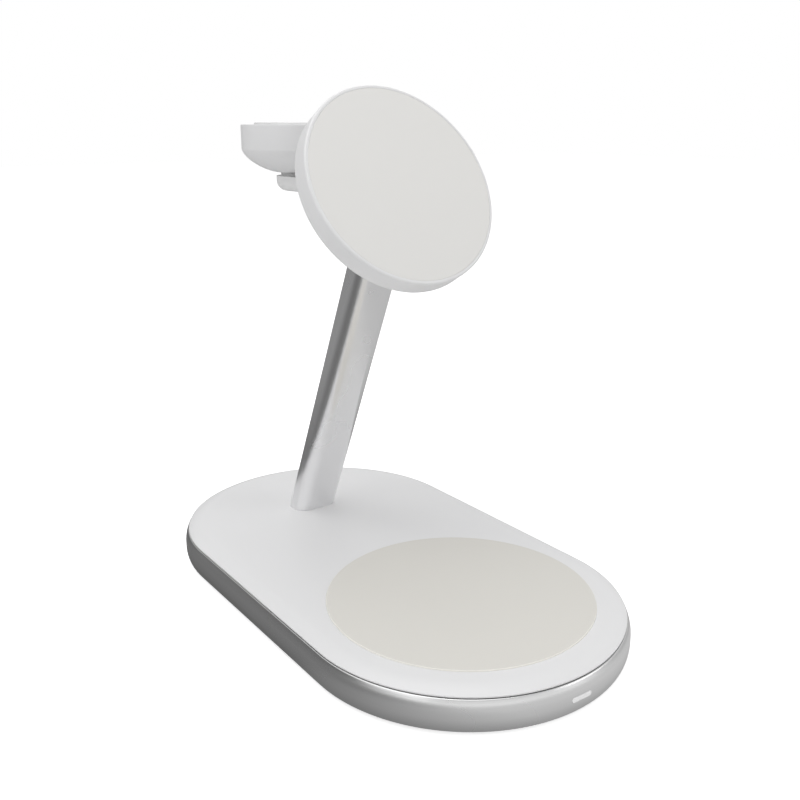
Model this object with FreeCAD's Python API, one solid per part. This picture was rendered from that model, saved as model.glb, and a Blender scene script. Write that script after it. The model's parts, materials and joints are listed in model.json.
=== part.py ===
import FreeCAD, Part
import math
import os

# Desk charger for a phone, a watch and an earbud case.
# Frame: millimetres, +Z up, front towards -Y, origin under the middle of the base.
# The base is a stadium: two half circles joined by straight sides along Y.

# Base outline and heights
arc_offset = 35.7
seam_radius = 45.55
foot_stand = 1.0
band_height = 9.0
band_bulge = 0.95
bulge_drop = 3.8
band_bottom_turn = 4.4
band_wall = 1.95
ledge_width = 1.6
ledge_thickness = 1.2

# Top cover
cover_crown = 1.95
cover_thickness = 1.8
cover_roll = 4.9
cover_edge_inset = 0.25
cover_edge_height = 0.35
seam_gap = 0.3
seam_depth = 0.6
skirt_thickness = 1.4
skirt_depth = 2.3
skirt_gap = 0.2

# Bottom cover and foot ring
bottom_recess = 0.2
bottom_thickness = 1.6
foot_groove = 0.6
foot_ring_inset = 7.55
foot_ring_width = 5.6
foot_edge_round = 0.4
screw_angle = 57.0
screw_boss_radius = 2.6
screw_pad_radius = 3.2
screw_pad_height = 1.6
screw_shank_radius = 1.0
screw_shank_length = 5.2
screw_head_radius = 1.9
screw_head_height = 1.2
screw_socket_radius = 0.8
screw_socket_depth = 0.7
screw_end_gap = 0.4

# Earbud charging place
pad_radius = 37.2
pad_thickness = 1.2
pad_proud = 0.4
pad_edge_round = 0.35
coil_inner = 10.0
coil_outer = 21.0
coil_thickness = 1.6
ferrite_radius = 23.0
ferrite_thickness = 0.9
carrier_floor = 1.2
carrier_wall = 2.0
carrier_margin = 2.0
carrier_hole_radius = 8.0

# Circuit boards of the base
board_size_x = 60.0
board_size_y = 30.0
board_thickness = 1.2
board_middle_y = 7.0
board_post_radius = 2.2
board_post_height = 1.8
board_post_inset = 4.0
chip_size = 7.0
chip_height = 1.0
choke_size = 8.0
choke_height = 3.0
capacitor_radius = 1.6
capacitor_height = 2.6
plug_socket_x = 6.0
plug_socket_y = 4.0
plug_socket_height = 3.0

# Power socket at the back
port_width = 8.94
port_height = 3.26
port_length = 7.3
port_wall = 0.32
port_sunk = 0.8
port_gap = 0.25
port_tongue_width = 6.6
port_tongue_thickness = 0.7
port_tongue_length = 4.8
port_back_wall = 1.0
port_board_x = 18.0
port_board_y = 10.0
port_board_thickness = 1.0
port_overlap = 2.3

# Charge light at the front
window_width = 6.5
window_height = 1.45
window_drop = 4.5
window_gap = 0.05
window_flange = 1.3
window_flange_thickness = 1.0
light_width = 3.0
light_height = 1.4
light_thickness = 0.8
light_board_x = 12.0
light_board_thickness = 1.0
light_board_top = 2.3

# Ballast and stem socket
weight_side_gap = 2.4
weight_board_gap = 3.0
weight_back_inset = 17.25
weight_corner = 8.0
weight_thickness = 2.0
socket_half_x = 11.5
socket_front = 10.0
socket_back = 12.5
socket_corner = 4.0
socket_top_gap = 0.15
flange_margin = 6.0
flange_thickness = 2.0
anchor_inset = 3.2
anchor_shank_radius = 1.25
anchor_head_radius = 2.3
anchor_head_height = 1.3
anchor_depth = 1.7

# Stem: a flat oval tube that leans forward
stem_lean = 24.15
stem_end_inset = 36.25
stem_width = 15.0
stem_depth = 9.0
stem_corner = 3.9
stem_wall = 1.5
stem_top = 104.8
stem_gap = 0.12
stem_end_gap = 0.3
notch_half_width = 2.0

# Leads inside the stem and the base
lead_radius = 1.2
lead_bend = 5.0
lead_level = 3.8
lead_end = 103.0
power_lead_radius = 0.9
power_lead_level = 1.95
power_lead_inset = 19.15
power_lead_jog = 6.4
power_lead_bend = 6.0
power_lead_overlap = 2.0

# Phone disc
head_reach = 117.6
disc_lean = 29.8
disc_radius = 29.0
disc_wall = 1.2
disc_floor = 1.4
disc_front_round = 0.6
disc_back_round = 1.0
face_lip = 1.0
face_pad_thickness = 0.8
face_pad_round = 0.15
front_plate_thickness = 1.0
magnet_width = 4.4
magnet_count = 16
magnet_gap = 0.5
magnet_thickness = 1.4
disc_coil_inner = 9.0
disc_coil_gap = 2.3
disc_ferrite_gap = 1.1
disc_ferrite_thickness = 0.8
disc_board_inner = 12.0
disc_board_gap = 1.8
disc_board_thickness = 1.0

# Tilt hinge
hinge_depth = 7.2
barrel_radius = 6.65
barrel_edge = 1.6
lug_radius = 4.5
lug_half_width = 3.95
slot_half_width = 4.6
slot_clearance = 0.7
lug_flange_radius = 9.5
lug_flange_thickness = 1.2
lug_screw_pitch = 7.2
lug_screw_count = 3
lug_screw_start = 30.0
lug_screw_radius = 0.8
lug_screw_head_radius = 1.4
lug_screw_head_height = 0.6
lug_screw_bite = 1.0
pin_radius = 1.5
pin_run_gap = 0.05
pin_fit_gap = 0.02
cap_radius = 3.2
cap_thickness = 0.9
cap_gap = 0.1
washer_radius = 4.2
tilt_upright = 20.0
tilt_back = 15.0

# Rear arm
arm_thickness = 4.5
arm_half_width = 9.8
arm_edge_round = 3.0
watch_setback = 38.0
web_radius = 5.0
web_half_width = 6.0
plug_length = 14.0
neck_drop = 3.5
plug_root = 1.2
channel_gap = 0.5
arm_groove_half = 2.0
arm_groove_depth = 2.6
arm_cover_half = 4.0
arm_cover_thickness = 1.0
arm_groove_start = 13.0
arm_lead_radius = 0.8
arm_lead_bend = 2.4
arm_lead_rise = 6.0

# Watch cradle
cradle_radius = 20.0
cradle_flat = 9.0
cradle_bowl_height = 7.0
cradle_wall_height = 7.0
cradle_floor = 1.6
cradle_wall = 2.6
cradle_rim = 1.6
cradle_rim_round = 0.3
neck_height = 1.0
neck_radius = 8.4
swivel_gap = 0.05
pivot_radius = 4.0
pivot_bore = 2.5
pivot_lip = 0.5
clip_radius = 6.2
clip_thickness = 0.8
spring_thickness = 0.6
top_cover_thickness = 1.4
top_cover_width = 2.2
puck_proud = 0.6
puck_flange = 1.1
puck_flange_thickness = 1.2
puck_round = 0.5
puck_dish_radius = 70.0
puck_dish_depth = 1.0
watch_coil_inner = 4.0
watch_coil_inset = 3.5
watch_coil_thickness = 1.4
watch_ferrite_inset = 2.5
watch_ferrite_thickness = 0.8
watch_magnet_radius = 3.4
watch_rib_inset = 2.0
watch_rib_thickness = 1.2
watch_rib_height = 3.2
watch_board_inner = 6.8
watch_board_inset = 0.6
watch_board_thickness = 1.0

# Clearance between pieces that drop into each other
fit_gap = 0.1

# Levels that follow from the sizes above
ROUND_MATCH = 1e-6
OVERRUN = 2.0
CENTRE = FreeCAD.Vector(0, 0, 0)
X_AXIS = FreeCAD.Vector(1, 0, 0)
Y_AXIS = FreeCAD.Vector(0, 1, 0)
Z_AXIS = FreeCAD.Vector(0, 0, 1)

seam_level = foot_stand + band_height
cover_top = seam_level + cover_crown
cover_under = cover_top - cover_thickness
band_inner = seam_radius - band_wall
band_outer = seam_radius + band_bulge
foot_ring_radius = seam_radius - foot_ring_inset
bottom_under = foot_stand + bottom_recess
bottom_top = bottom_under + bottom_thickness
groove_level = bottom_under + foot_groove
screw_pad_top = bottom_top + screw_pad_height
pad_under = cover_top + pad_proud - pad_thickness
power_lead_x = seam_radius - power_lead_inset
power_lead_turn_x = power_lead_x - power_lead_jog
weight_top = bottom_top + weight_thickness
weight_half_x = power_lead_x - weight_side_gap
weight_front = board_middle_y + board_size_y / 2 + weight_board_gap
weight_back = arc_offset + seam_radius - weight_back_inset
window_level = seam_level - window_drop
port_level = bottom_top + port_board_thickness + port_height / 2

front_middle = Y_AXIS * -arc_offset
back_middle = Y_AXIS * arc_offset
stem_turn = math.radians(stem_lean)
stem_foot_y = arc_offset + seam_radius - stem_end_inset
stem_way = FreeCAD.Vector(0, -math.sin(stem_turn), math.cos(stem_turn))
stem_foot = FreeCAD.Vector(0, stem_foot_y, cover_top)
stem_place = FreeCAD.Placement(stem_foot, FreeCAD.Rotation(X_AXIS, stem_lean))
stem_bottom_level = weight_top + stem_end_gap + stem_depth / 2 * math.sin(stem_turn)
stem_start = (stem_bottom_level - cover_top) / math.cos(stem_turn)

disc_turn = math.radians(disc_lean)
disc_normal = FreeCAD.Vector(0, -math.cos(disc_turn), math.sin(disc_turn))
disc_back = stem_foot + stem_way * head_reach
disc_place = FreeCAD.Placement(disc_back, FreeCAD.Rotation(X_AXIS, 90.0 - disc_lean))
hinge = disc_back - disc_normal * hinge_depth
face_pad_radius = disc_radius - face_lip
magnet_outer = disc_radius - disc_wall - fit_gap
magnet_inner = magnet_outer - magnet_width
disc_coil_outer = magnet_inner - disc_coil_gap
disc_ferrite_radius = magnet_inner - disc_ferrite_gap
disc_board_outer = magnet_inner - disc_board_gap
disc_seat = disc_floor + lug_flange_thickness + disc_ferrite_thickness
disc_pad_seat = disc_seat + magnet_thickness + front_plate_thickness
disc_thickness = disc_pad_seat + face_pad_thickness
arm_top = hinge.z + barrel_radius
arm_under = arm_top - arm_thickness
watch_y = hinge.y + watch_setback
bowl_level = arm_top + neck_height
wall_level = bowl_level + cradle_bowl_height
rim_level = wall_level + cradle_wall_height
watch_axis = FreeCAD.Vector(0, watch_y, 0)
top_cover_outer = cradle_radius - cradle_rim - fit_gap
top_cover_inner = top_cover_outer - top_cover_width
puck_radius = top_cover_inner - fit_gap
watch_coil_outer = puck_radius - watch_coil_inset
watch_ferrite_radius = puck_radius - watch_ferrite_inset
watch_rib_radius = puck_radius - watch_rib_inset
watch_board_outer = puck_radius - watch_board_inset
top_cover_under = rim_level - top_cover_thickness
puck_under = top_cover_under - puck_flange_thickness


def in_xy(a, b):
    """Point of a plan outline."""
    return FreeCAD.Vector(a, b, 0)


def in_xz(a, b):
    """Point of an outline that faces the front."""
    return FreeCAD.Vector(a, 0, b)


def in_yz(a, b):
    """Point of a side outline."""
    return FreeCAD.Vector(0, a, b)


def arc_edge(middle, start, end):
    """Short arc from start to end about a middle."""
    radius = (start - middle).Length
    via = middle + ((start - middle) + (end - middle)).normalize() * radius
    return Part.Arc(start, via, end).toShape()


def round_edge(start, corner, end):
    """Rounded corner: a quarter circle, or the two arcs that follow a quarter ellipse."""
    middle = start + end - corner
    far, near = sorted((start, end), key=lambda point: -(point - middle).Length)
    long_half = (far - middle).Length
    short_half = (near - middle).Length
    if math.isclose(long_half, short_half, abs_tol=ROUND_MATCH):
        return [arc_edge(middle, start, end)]
    span = math.hypot(long_half, short_half)
    small = span * (span - long_half + short_half) / (2 * long_half)
    large = span * (span + long_half - short_half) / (2 * short_half)
    small_middle = far - (far - middle).normalize() * small
    large_middle = near - (near - middle).normalize() * large
    meet = small_middle + (small_middle - large_middle).normalize() * small
    far_arc = arc_edge(small_middle, far, meet)
    near_arc = arc_edge(large_middle, meet, near)
    return [far_arc, near_arc]


def outline(plane, start, *steps):
    """Closed face. A step is an end point, or (corner, end) for a rounded stretch."""
    edges = []
    here = plane(*start)
    for step in steps + (start,):
        if isinstance(step[0], tuple):
            corner = plane(*step[0])
            end = plane(*step[1])
            edges.extend(round_edge(here, corner, end))
        else:
            end = plane(*step)
            edges.append(Part.LineSegment(here, end).toShape())
        here = end
    return Part.Face(Part.Wire(Part.__sortEdges__(edges)))


def put(shape, placement):
    """Copy of a shape, carried from its own frame into the frame of the charger."""
    moved = shape.copy()
    moved.Placement = placement.multiply(moved.Placement)
    return moved


def join(first, *others):
    """One solid out of several that touch or overlap."""
    return first.fuse(list(others)).removeSplitter().Solids[0]


def spin(face, middle=CENTRE, degrees=360.0):
    """Turned solid about a vertical axis."""
    return face.revolve(middle, Z_AXIS, degrees)


def disc(radius, low, high, middle=CENTRE):
    """Round plate between two levels."""
    return Part.makeCylinder(radius, high - low, FreeCAD.Vector(middle.x, middle.y, low))


def ring(inner, outer, low, high, middle=CENTRE):
    """Flat ring between two levels."""
    return disc(outer, low, high, middle).cut(disc(inner, low, high, middle))


def block(x_low, x_high, y_low, y_high, z_low, z_high):
    """Plain block between six faces."""
    corner = FreeCAD.Vector(x_low, y_low, z_low)
    return Part.makeBox(x_high - x_low, y_high - y_low, z_high - z_low, corner)


def soft_block(x_low, x_high, y_low, y_high, corner, low, high):
    """Plate with rounded corners in plan."""
    plate = block(x_low, x_high, y_low, y_high, low, high)
    upright = [edge for edge in plate.Edges if edge.BoundBox.ZLength > (high - low) / 2]
    return plate.makeFillet(corner, upright)


def stadium(radius, low, high):
    """Plate with the outline of the base."""
    side = Part.makeBox(2 * radius, 2 * arc_offset, high - low, FreeCAD.Vector(-radius, -arc_offset, low))
    front = disc(radius, low, high, front_middle)
    back = disc(radius, low, high, back_middle)
    return join(side, front, back)


def around_base(section):
    """Carries a section, drawn in the XZ plane, once round the base outline."""
    side_start = section.translated(Y_AXIS * -arc_offset)
    right = side_start.extrude(Y_AXIS * (2 * arc_offset))
    back = spin(section.translated(back_middle), back_middle, 180.0)
    left = right.rotated(CENTRE, Z_AXIS, 180.0)
    front = back.rotated(CENTRE, Z_AXIS, 180.0)
    return join(right, back, left, front)


def slot_along_y(width, height, level, y_low, y_high):
    """Flat bar with round ends that runs along Y."""
    half = width / 2 - height / 2
    middle = block(-half, half, y_low, y_high, level - height / 2, level + height / 2)
    ends = []
    for side in (-half, half):
        start = FreeCAD.Vector(side, y_low, level)
        ends.append(Part.makeCylinder(height / 2, y_high - y_low, start, Y_AXIS))
    return join(middle, *ends)


def oval(width, depth, corner, low, high):
    """Flat oval bar along its own Z."""
    return soft_block(-width / 2, width / 2, -depth / 2, depth / 2, corner, low, high)


def stem_bar(grow, low, high):
    """The stem outline, grown by a margin, in the frame of the charger."""
    bar = oval(stem_width + 2 * grow, stem_depth + 2 * grow, stem_corner + grow, low, high)
    return put(bar, stem_place)


def base_screw_places():
    """The six places where the covers of the base are screwed together."""
    turn = math.radians(screw_angle)
    end_x = foot_ring_radius * math.sin(turn)
    end_y = arc_offset + foot_ring_radius * math.cos(turn)
    places = []
    for side in (-1, 1):
        places.append(FreeCAD.Vector(side * foot_ring_radius, 0, 0))
        places.append(FreeCAD.Vector(side * end_x, end_y, 0))
        places.append(FreeCAD.Vector(side * end_x, -end_y, 0))
    return places


def bent_lead(points, radius, bend):
    """Round lead along straight runs joined by tangent arcs."""
    edges = []
    here = points[0]
    for before, corner, after in zip(points, points[1:], points[2:]):
        way_in = (corner - before).normalize()
        way_out = (after - corner).normalize()
        turn = way_in.getAngle(way_out)
        reach = bend * math.tan(turn / 2)
        start = corner - way_in * reach
        end = corner + way_out * reach
        inward = (way_out - way_in).normalize()
        middle = corner + inward * (bend / math.cos(turn / 2) - bend)
        edges.append(Part.LineSegment(here, start).toShape())
        edges.append(Part.Arc(start, middle, end).toShape())
        here = end
    edges.append(Part.LineSegment(here, points[-1]).toShape())
    first_way = (points[1] - points[0]).normalize()
    section = Part.Wire(Part.Circle(points[0], first_way, radius).toShape())
    return Part.Wire(edges).makePipeShell([section], True, False).Solids[0]


def band_envelope():
    """The filled outer form of the metal band: a bulged side over a rounded foot."""
    arc_radius = (band_bulge ** 2 + bulge_drop ** 2) / (2 * band_bulge)
    widest = seam_level - bulge_drop
    foot_edge = band_outer - band_bottom_turn
    foot_turn = foot_stand + band_bottom_turn
    top_edge = in_xz(seam_radius, seam_level)
    side_edge = in_xz(band_outer, widest)
    edges = [arc_edge(in_xz(band_outer - arc_radius, widest), top_edge, side_edge)]
    edges.append(Part.LineSegment(side_edge, in_xz(band_outer, foot_turn)).toShape())
    edges.extend(round_edge(in_xz(band_outer, foot_turn), in_xz(band_outer, foot_stand),
                            in_xz(foot_edge, foot_stand)))
    corners = [(foot_edge, foot_stand), (0, foot_stand), (0, seam_level), (seam_radius, seam_level)]
    for here, there in zip(corners, corners[1:]):
        edges.append(Part.LineSegment(in_xz(*here), in_xz(*there)).toShape())
    return around_base(Part.Face(Part.Wire(edges)))


def base_frame():
    """Metal band round the base, with a ledge inside and slots for the light and the socket."""
    ledge_top = bottom_top + ledge_thickness
    lower_hole = stadium(band_inner, foot_stand - OVERRUN, bottom_top)
    ledge_hole = stadium(band_inner - ledge_width, bottom_top - OVERRUN, ledge_top)
    upper_hole = stadium(band_inner, ledge_top, seam_level + OVERRUN)
    front = -arc_offset - band_outer
    back = arc_offset + band_outer
    light_slot = slot_along_y(window_width, window_height, window_level,
                              front - OVERRUN, front + OVERRUN + band_wall)
    port_depth = port_length + OVERRUN
    port_slot = slot_along_y(port_width + 2 * port_gap, port_height + 2 * port_gap, port_level,
                             back - port_depth, back + OVERRUN)
    return band_envelope().cut([lower_hole, ledge_hole, upper_hole, light_slot, port_slot])


def base_top_cover():
    """White cover with a soft rolled edge, a locating skirt, screw bosses and a pad recess."""
    edge = seam_radius - cover_edge_inset
    edge_top = seam_level + seam_gap + cover_edge_height
    inner_seat = edge - seam_depth
    skirt_outer = band_inner - skirt_gap
    skirt_inner = skirt_outer - skirt_thickness
    skirt_low = cover_under - skirt_depth
    drop = cover_top - edge_top
    arc_radius = (cover_roll ** 2 + drop ** 2) / (2 * drop)
    roll_start = edge - cover_roll
    roll_middle = in_xz(roll_start, cover_top - arc_radius)
    roll = arc_edge(roll_middle, in_xz(roll_start, cover_top), in_xz(edge, edge_top))
    corners = [(edge, edge_top), (edge, seam_level + seam_gap), (inner_seat, seam_level + seam_gap),
               (inner_seat, seam_level), (skirt_outer, seam_level), (skirt_outer, skirt_low),
               (skirt_inner, skirt_low), (skirt_inner, cover_under), (0, cover_under), (0, cover_top),
               (roll_start, cover_top)]
    edges = [roll]
    for here, there in zip(corners, corners[1:]):
        edges.append(Part.LineSegment(in_xz(*here), in_xz(*there)).toShape())
    cover = around_base(Part.Face(Part.Wire(edges)))
    bosses = []
    pilots = []
    screw_top = groove_level + screw_head_height + screw_shank_length
    for place in base_screw_places():
        bosses.append(disc(screw_boss_radius, screw_pad_top, cover_under + cover_thickness / 2, place))
        pilots.append(disc(screw_shank_radius, screw_pad_top - OVERRUN, screw_top + screw_end_gap, place))
    cover = join(cover, *bosses)
    recess = disc(pad_radius + fit_gap, pad_under, cover_top + OVERRUN, front_middle)
    stem_hole = stem_bar(stem_gap, stem_start, OVERRUN * 3)
    return cover.cut(pilots + [recess, stem_hole])


def base_bottom_cover():
    """Bottom cover with the foot groove, screw pads and posts for the main board."""
    cover = stadium(band_inner - fit_gap, bottom_under, bottom_top)
    pads = []
    holes = []
    for place in base_screw_places():
        pads.append(disc(screw_pad_radius, bottom_top - bottom_thickness / 2, screw_pad_top, place))
        head_top = groove_level + screw_head_height
        holes.append(disc(screw_head_radius + fit_gap, bottom_under - OVERRUN, head_top, place))
        holes.append(disc(screw_shank_radius + fit_gap, head_top - fit_gap, screw_pad_top + OVERRUN, place))
    for place in board_post_places():
        pads.append(disc(board_post_radius, bottom_top - bottom_thickness / 2,
                         bottom_top + board_post_height, place))
    cover = join(cover, *pads)
    half = foot_ring_width / 2 + fit_gap
    outer = stadium(foot_ring_radius + half, bottom_under - OVERRUN, groove_level)
    inner = stadium(foot_ring_radius - half, bottom_under - OVERRUN, groove_level)
    return cover.cut([outer.cut(inner)] + holes)


def foot_ring():
    """Soft ring that the charger stands on."""
    half = foot_ring_width / 2
    low = foot_ring_radius - half
    high = foot_ring_radius + half
    turn = foot_edge_round
    section = outline(in_xz, (low, groove_level), (high, groove_level), (high, turn),
                      ((high, 0), (high - turn, 0)), (low + turn, 0), ((low, 0), (low, turn)))
    return around_base(section)


def base_screws():
    """Six screws that hold the two covers and the band together."""
    head_top = groove_level + screw_head_height
    screws = []
    for place in base_screw_places():
        head = disc(screw_head_radius, groove_level, head_top, place)
        shank = disc(screw_shank_radius, head_top, head_top + screw_shank_length, place)
        drive = disc(screw_socket_radius, groove_level, groove_level + screw_socket_depth, place)
        screws.append(join(head, shank).cut(drive))
    return Part.Compound(screws)


def earbud_pad():
    """Soft pad that the earbud case lies on."""
    top = cover_top + pad_proud
    turn = pad_edge_round
    section = outline(in_xz, (0, pad_under), (pad_radius, pad_under), (pad_radius, top - turn),
                      ((pad_radius, top), (pad_radius - turn, top)), (0, top))
    return spin(section).translated(front_middle)


def earbud_coil():
    """Flat charging coil under the pad."""
    return ring(coil_inner, coil_outer, cover_under - coil_thickness, cover_under, front_middle)


def earbud_ferrite():
    """Shield plate under the coil."""
    top = cover_under - coil_thickness
    return disc(ferrite_radius, top - ferrite_thickness, top, front_middle)


def earbud_coil_carrier():
    """Tray on the bottom cover that presses the coil against the top cover."""
    tray_top = cover_under - coil_thickness - ferrite_thickness
    tray_floor = tray_top - carrier_floor
    outer = ferrite_radius + carrier_margin
    section = outline(in_xz, (carrier_hole_radius, tray_top), (carrier_hole_radius, tray_floor),
                      (outer - carrier_wall, tray_floor), (outer - carrier_wall, bottom_top),
                      (outer, bottom_top), (outer, tray_top))
    return spin(section).translated(front_middle)


def board_post_places():
    """Corners of the main board that rest on posts."""
    places = []
    for side in (-1, 1):
        for end in (-1, 1):
            across = side * (board_size_x / 2 - board_post_inset)
            along = board_middle_y + end * (board_size_y / 2 - board_post_inset)
            places.append(FreeCAD.Vector(across, along, 0))
    return places


def main_circuit_board():
    """Main board with its chips, choke, capacitors and two lead sockets."""
    low = bottom_top + board_post_height
    top = low + board_thickness
    front = board_middle_y - board_size_y / 2
    back = board_middle_y + board_size_y / 2
    half = board_size_x / 2
    board = block(-half, half, front, back, low, top)
    parts = []
    for side in (-1, 1):
        middle = side * half / 2
        parts.append(block(middle - chip_size / 2, middle + chip_size / 2, board_middle_y - chip_size,
                           board_middle_y, low + board_thickness / 2, top + chip_height))
        for step in (1, 2, 3):
            place = FreeCAD.Vector(side * step * choke_size / 2, front + 2 * capacitor_radius, 0)
            parts.append(disc(capacitor_radius, low + board_thickness / 2, top + capacitor_height, place))
    parts.append(soft_block(-choke_size / 2, choke_size / 2, board_middle_y - choke_size / 2,
                            board_middle_y + choke_size / 2, choke_size / 4, low + board_thickness / 2,
                            top + choke_height))
    wide = plug_socket_x / 2
    for middle in (0, -power_lead_x):
        parts.append(block(middle - wide, middle + wide, back - plug_socket_y, back,
                           low + board_thickness / 2, top + plug_socket_height))
    return join(board, *parts)


def usb_board():
    """Small board that carries the power socket."""
    mouth = arc_offset + band_outer - port_sunk
    back = mouth - port_length + port_overlap
    half = port_board_x / 2
    return block(-half, half, back - port_board_y, back, bottom_top, bottom_top + port_board_thickness)


def usb_c_socket():
    """Power socket: an oblong metal mouth with a tongue inside."""
    mouth = arc_offset + band_outer - port_sunk
    back = mouth - port_length
    shell = slot_along_y(port_width, port_height, port_level, back, mouth)
    hollow = slot_along_y(port_width - 2 * port_wall, port_height - 2 * port_wall, port_level,
                          back + port_back_wall, mouth + OVERRUN)
    half = port_tongue_width / 2
    rise = port_tongue_thickness / 2
    tongue = block(-half, half, back + port_back_wall / 2, back + port_back_wall + port_tongue_length,
                   port_level - rise, port_level + rise)
    return join(shell.cut(hollow), tongue)


def indicator_window():
    """Light guide that shows in the front of the band."""
    front = -arc_offset - band_outer
    inner = -arc_offset - band_inner
    bar = slot_along_y(window_width - 2 * window_gap, window_height - 2 * window_gap, window_level,
                       front - OVERRUN, inner + window_flange_thickness)
    flush = bar.common(band_envelope())
    half_x = window_width / 2 + window_flange
    drop = math.sqrt(band_inner ** 2 - half_x ** 2)
    face = -arc_offset - drop + fit_gap
    flange = block(-half_x, half_x, face, face + window_flange_thickness,
                   window_level - window_height / 2 - window_flange / 2,
                   window_level + window_height / 2 + window_flange / 2)
    return join(flush, flange)


def indicator_board():
    """Upright board with the light behind the window."""
    half_x = window_width / 2 + window_flange
    drop = math.sqrt(band_inner ** 2 - half_x ** 2)
    face = -arc_offset - drop + fit_gap + window_flange_thickness
    board_face = face + light_thickness
    half = light_board_x / 2
    board = block(-half, half, board_face, board_face + light_board_thickness, bottom_top,
                  window_level + light_board_top)
    light = block(-light_width / 2, light_width / 2, face, board_face + light_board_thickness / 2,
                  window_level - light_height / 2, window_level + light_height / 2)
    return join(board, light)


def base_weight():
    """Steel plate that keeps the charger from tipping when a phone is on it."""
    plate = soft_block(-weight_half_x, weight_half_x, weight_front, weight_back, weight_corner,
                       bottom_top, weight_top)
    holes = []
    for place in anchor_places():
        holes.append(disc(anchor_shank_radius, bottom_top - OVERRUN, weight_top + OVERRUN, place))
    return plate.cut(holes)


def socket_middle():
    """Plan place where the stem axis meets the top of the ballast."""
    rise = weight_top - cover_top
    return stem_foot_y - rise * math.tan(stem_turn)


def anchor_places():
    """Places of the four screws that hold the stem socket down."""
    half = socket_half_x + flange_margin - anchor_inset
    front = socket_middle() - socket_front - flange_margin + anchor_inset
    back = socket_middle() + socket_back + flange_margin - anchor_inset
    places = []
    for side in (-half, half):
        places.append(FreeCAD.Vector(side, front, 0))
        places.append(FreeCAD.Vector(side, back, 0))
    return places


def stem_socket():
    """Cast socket that holds the foot of the stem at its lean."""
    middle = socket_middle()
    top = cover_under - socket_top_gap
    tower = soft_block(-socket_half_x, socket_half_x, middle - socket_front, middle + socket_back,
                       socket_corner, weight_top, top)
    wide = socket_half_x + flange_margin
    flange = soft_block(-wide, wide, middle - socket_front - flange_margin,
                        middle + socket_back + flange_margin, socket_corner,
                        weight_top, weight_top + flange_thickness)
    pocket = stem_bar(fit_gap, stem_start - stem_depth, OVERRUN)
    pocket = pocket.common(block(-wide, wide, middle - stem_depth * 2, middle + stem_depth * 2,
                                 weight_top + stem_end_gap / 2, top + OVERRUN))
    way_level = bottom_top + lead_level
    half = lead_radius + channel_gap
    way = block(-half, half, middle - socket_front - flange_margin - OVERRUN, middle, way_level - half,
                way_level + half)
    holes = [pocket, way]
    for place in anchor_places():
        holes.append(disc(anchor_shank_radius + fit_gap, weight_top - OVERRUN, top, place))
    return join(tower, flange).cut(holes)


def stem_socket_screws():
    """Four screws that hold the stem socket on the ballast."""
    level = weight_top + flange_thickness
    screws = []
    for place in anchor_places():
        head = disc(anchor_head_radius, level, level + anchor_head_height, place)
        shank = disc(anchor_shank_radius, weight_top - anchor_depth, level, place)
        drive = disc(anchor_shank_radius, level + anchor_head_height / 2, level + anchor_head_height, place)
        screws.append(join(head, shank).cut(drive))
    return Part.Compound(screws)


def stem_tube():
    """Flat oval metal tube, with a notch at its foot for the lead."""
    outer = stem_bar(0, stem_start, stem_top)
    inner = stem_bar(-stem_wall, stem_start - OVERRUN, stem_top + OVERRUN)
    middle = socket_middle()
    notch = block(-notch_half_width, notch_half_width, middle - stem_depth * 2, middle, weight_top,
                  cover_under - fit_gap)
    return outer.cut([inner, notch])


def stem_harness():
    """Lead from the main board, through the socket, up inside the stem."""
    level = bottom_top + lead_level
    start = FreeCAD.Vector(0, board_middle_y + board_size_y / 2, level)
    turn_y = stem_foot_y + (cover_top - level) * math.tan(stem_turn)
    corner = FreeCAD.Vector(0, turn_y, level)
    end = stem_foot + stem_way * lead_end
    return bent_lead([start, corner, end], lead_radius, lead_bend)


def power_lead():
    """Lead from the socket board round the ballast to the main board."""
    level = bottom_top + power_lead_level
    board_end = arc_offset + band_outer - port_sunk - port_length + port_overlap
    first_y = board_end - port_board_y + power_lead_bend / 2
    start = FreeCAD.Vector(power_lead_overlap - port_board_x / 2, first_y, level)
    first = FreeCAD.Vector(-power_lead_turn_x, first_y, level)
    second = FreeCAD.Vector(-power_lead_x, weight_back - power_lead_bend, level)
    end = FreeCAD.Vector(-power_lead_x, board_middle_y + board_size_y / 2, level)
    return bent_lead([start, first, second, end], power_lead_radius, power_lead_bend)


def hinge_along_stem():
    """Distance along the stem axis, from the top cover, at which the hinge lies."""
    return (hinge - stem_foot).dot(stem_way)


def head_bracket():
    """Cast head: a hinge barrel on the stem and the arm that carries the watch cradle."""
    half = arm_half_width
    turn = arm_edge_round
    bar_section = outline(in_xz, (-half, arm_top), (half, arm_top), (half, arm_under + turn),
                          ((half, arm_under), (half - turn, arm_under)), (turn - half, arm_under),
                          ((-half, arm_under), (-half, arm_under + turn)))
    bar = bar_section.translated(Y_AXIS * hinge.y).extrude(Y_AXIS * watch_setback)
    end_section = outline(in_xz, (0, arm_top), (half, arm_top), (half, arm_under + turn),
                          ((half, arm_under), (half - turn, arm_under)), (0, arm_under))
    end = spin(end_section.translated(watch_axis), watch_axis, 180.0)
    side = barrel_edge
    profile = outline(in_xz, (-half, 0), (-half, barrel_radius - side),
                      ((-half, barrel_radius), (side - half, barrel_radius)), (half - side, barrel_radius),
                      ((half, barrel_radius), (half, barrel_radius - side)), (half, 0))
    barrel = profile.translated(hinge).revolve(hinge, X_AXIS, 360.0)
    plug = stem_bar(-stem_wall - fit_gap, stem_top - plug_length, stem_top + plug_root)
    neck = stem_bar(0, stem_top, hinge_along_stem() - neck_drop)
    body = join(bar, end, barrel, arm_web(), neck, plug)
    for hole in knuckle_space() + bracket_holes():
        body = body.cut(hole)
    return body


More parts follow.
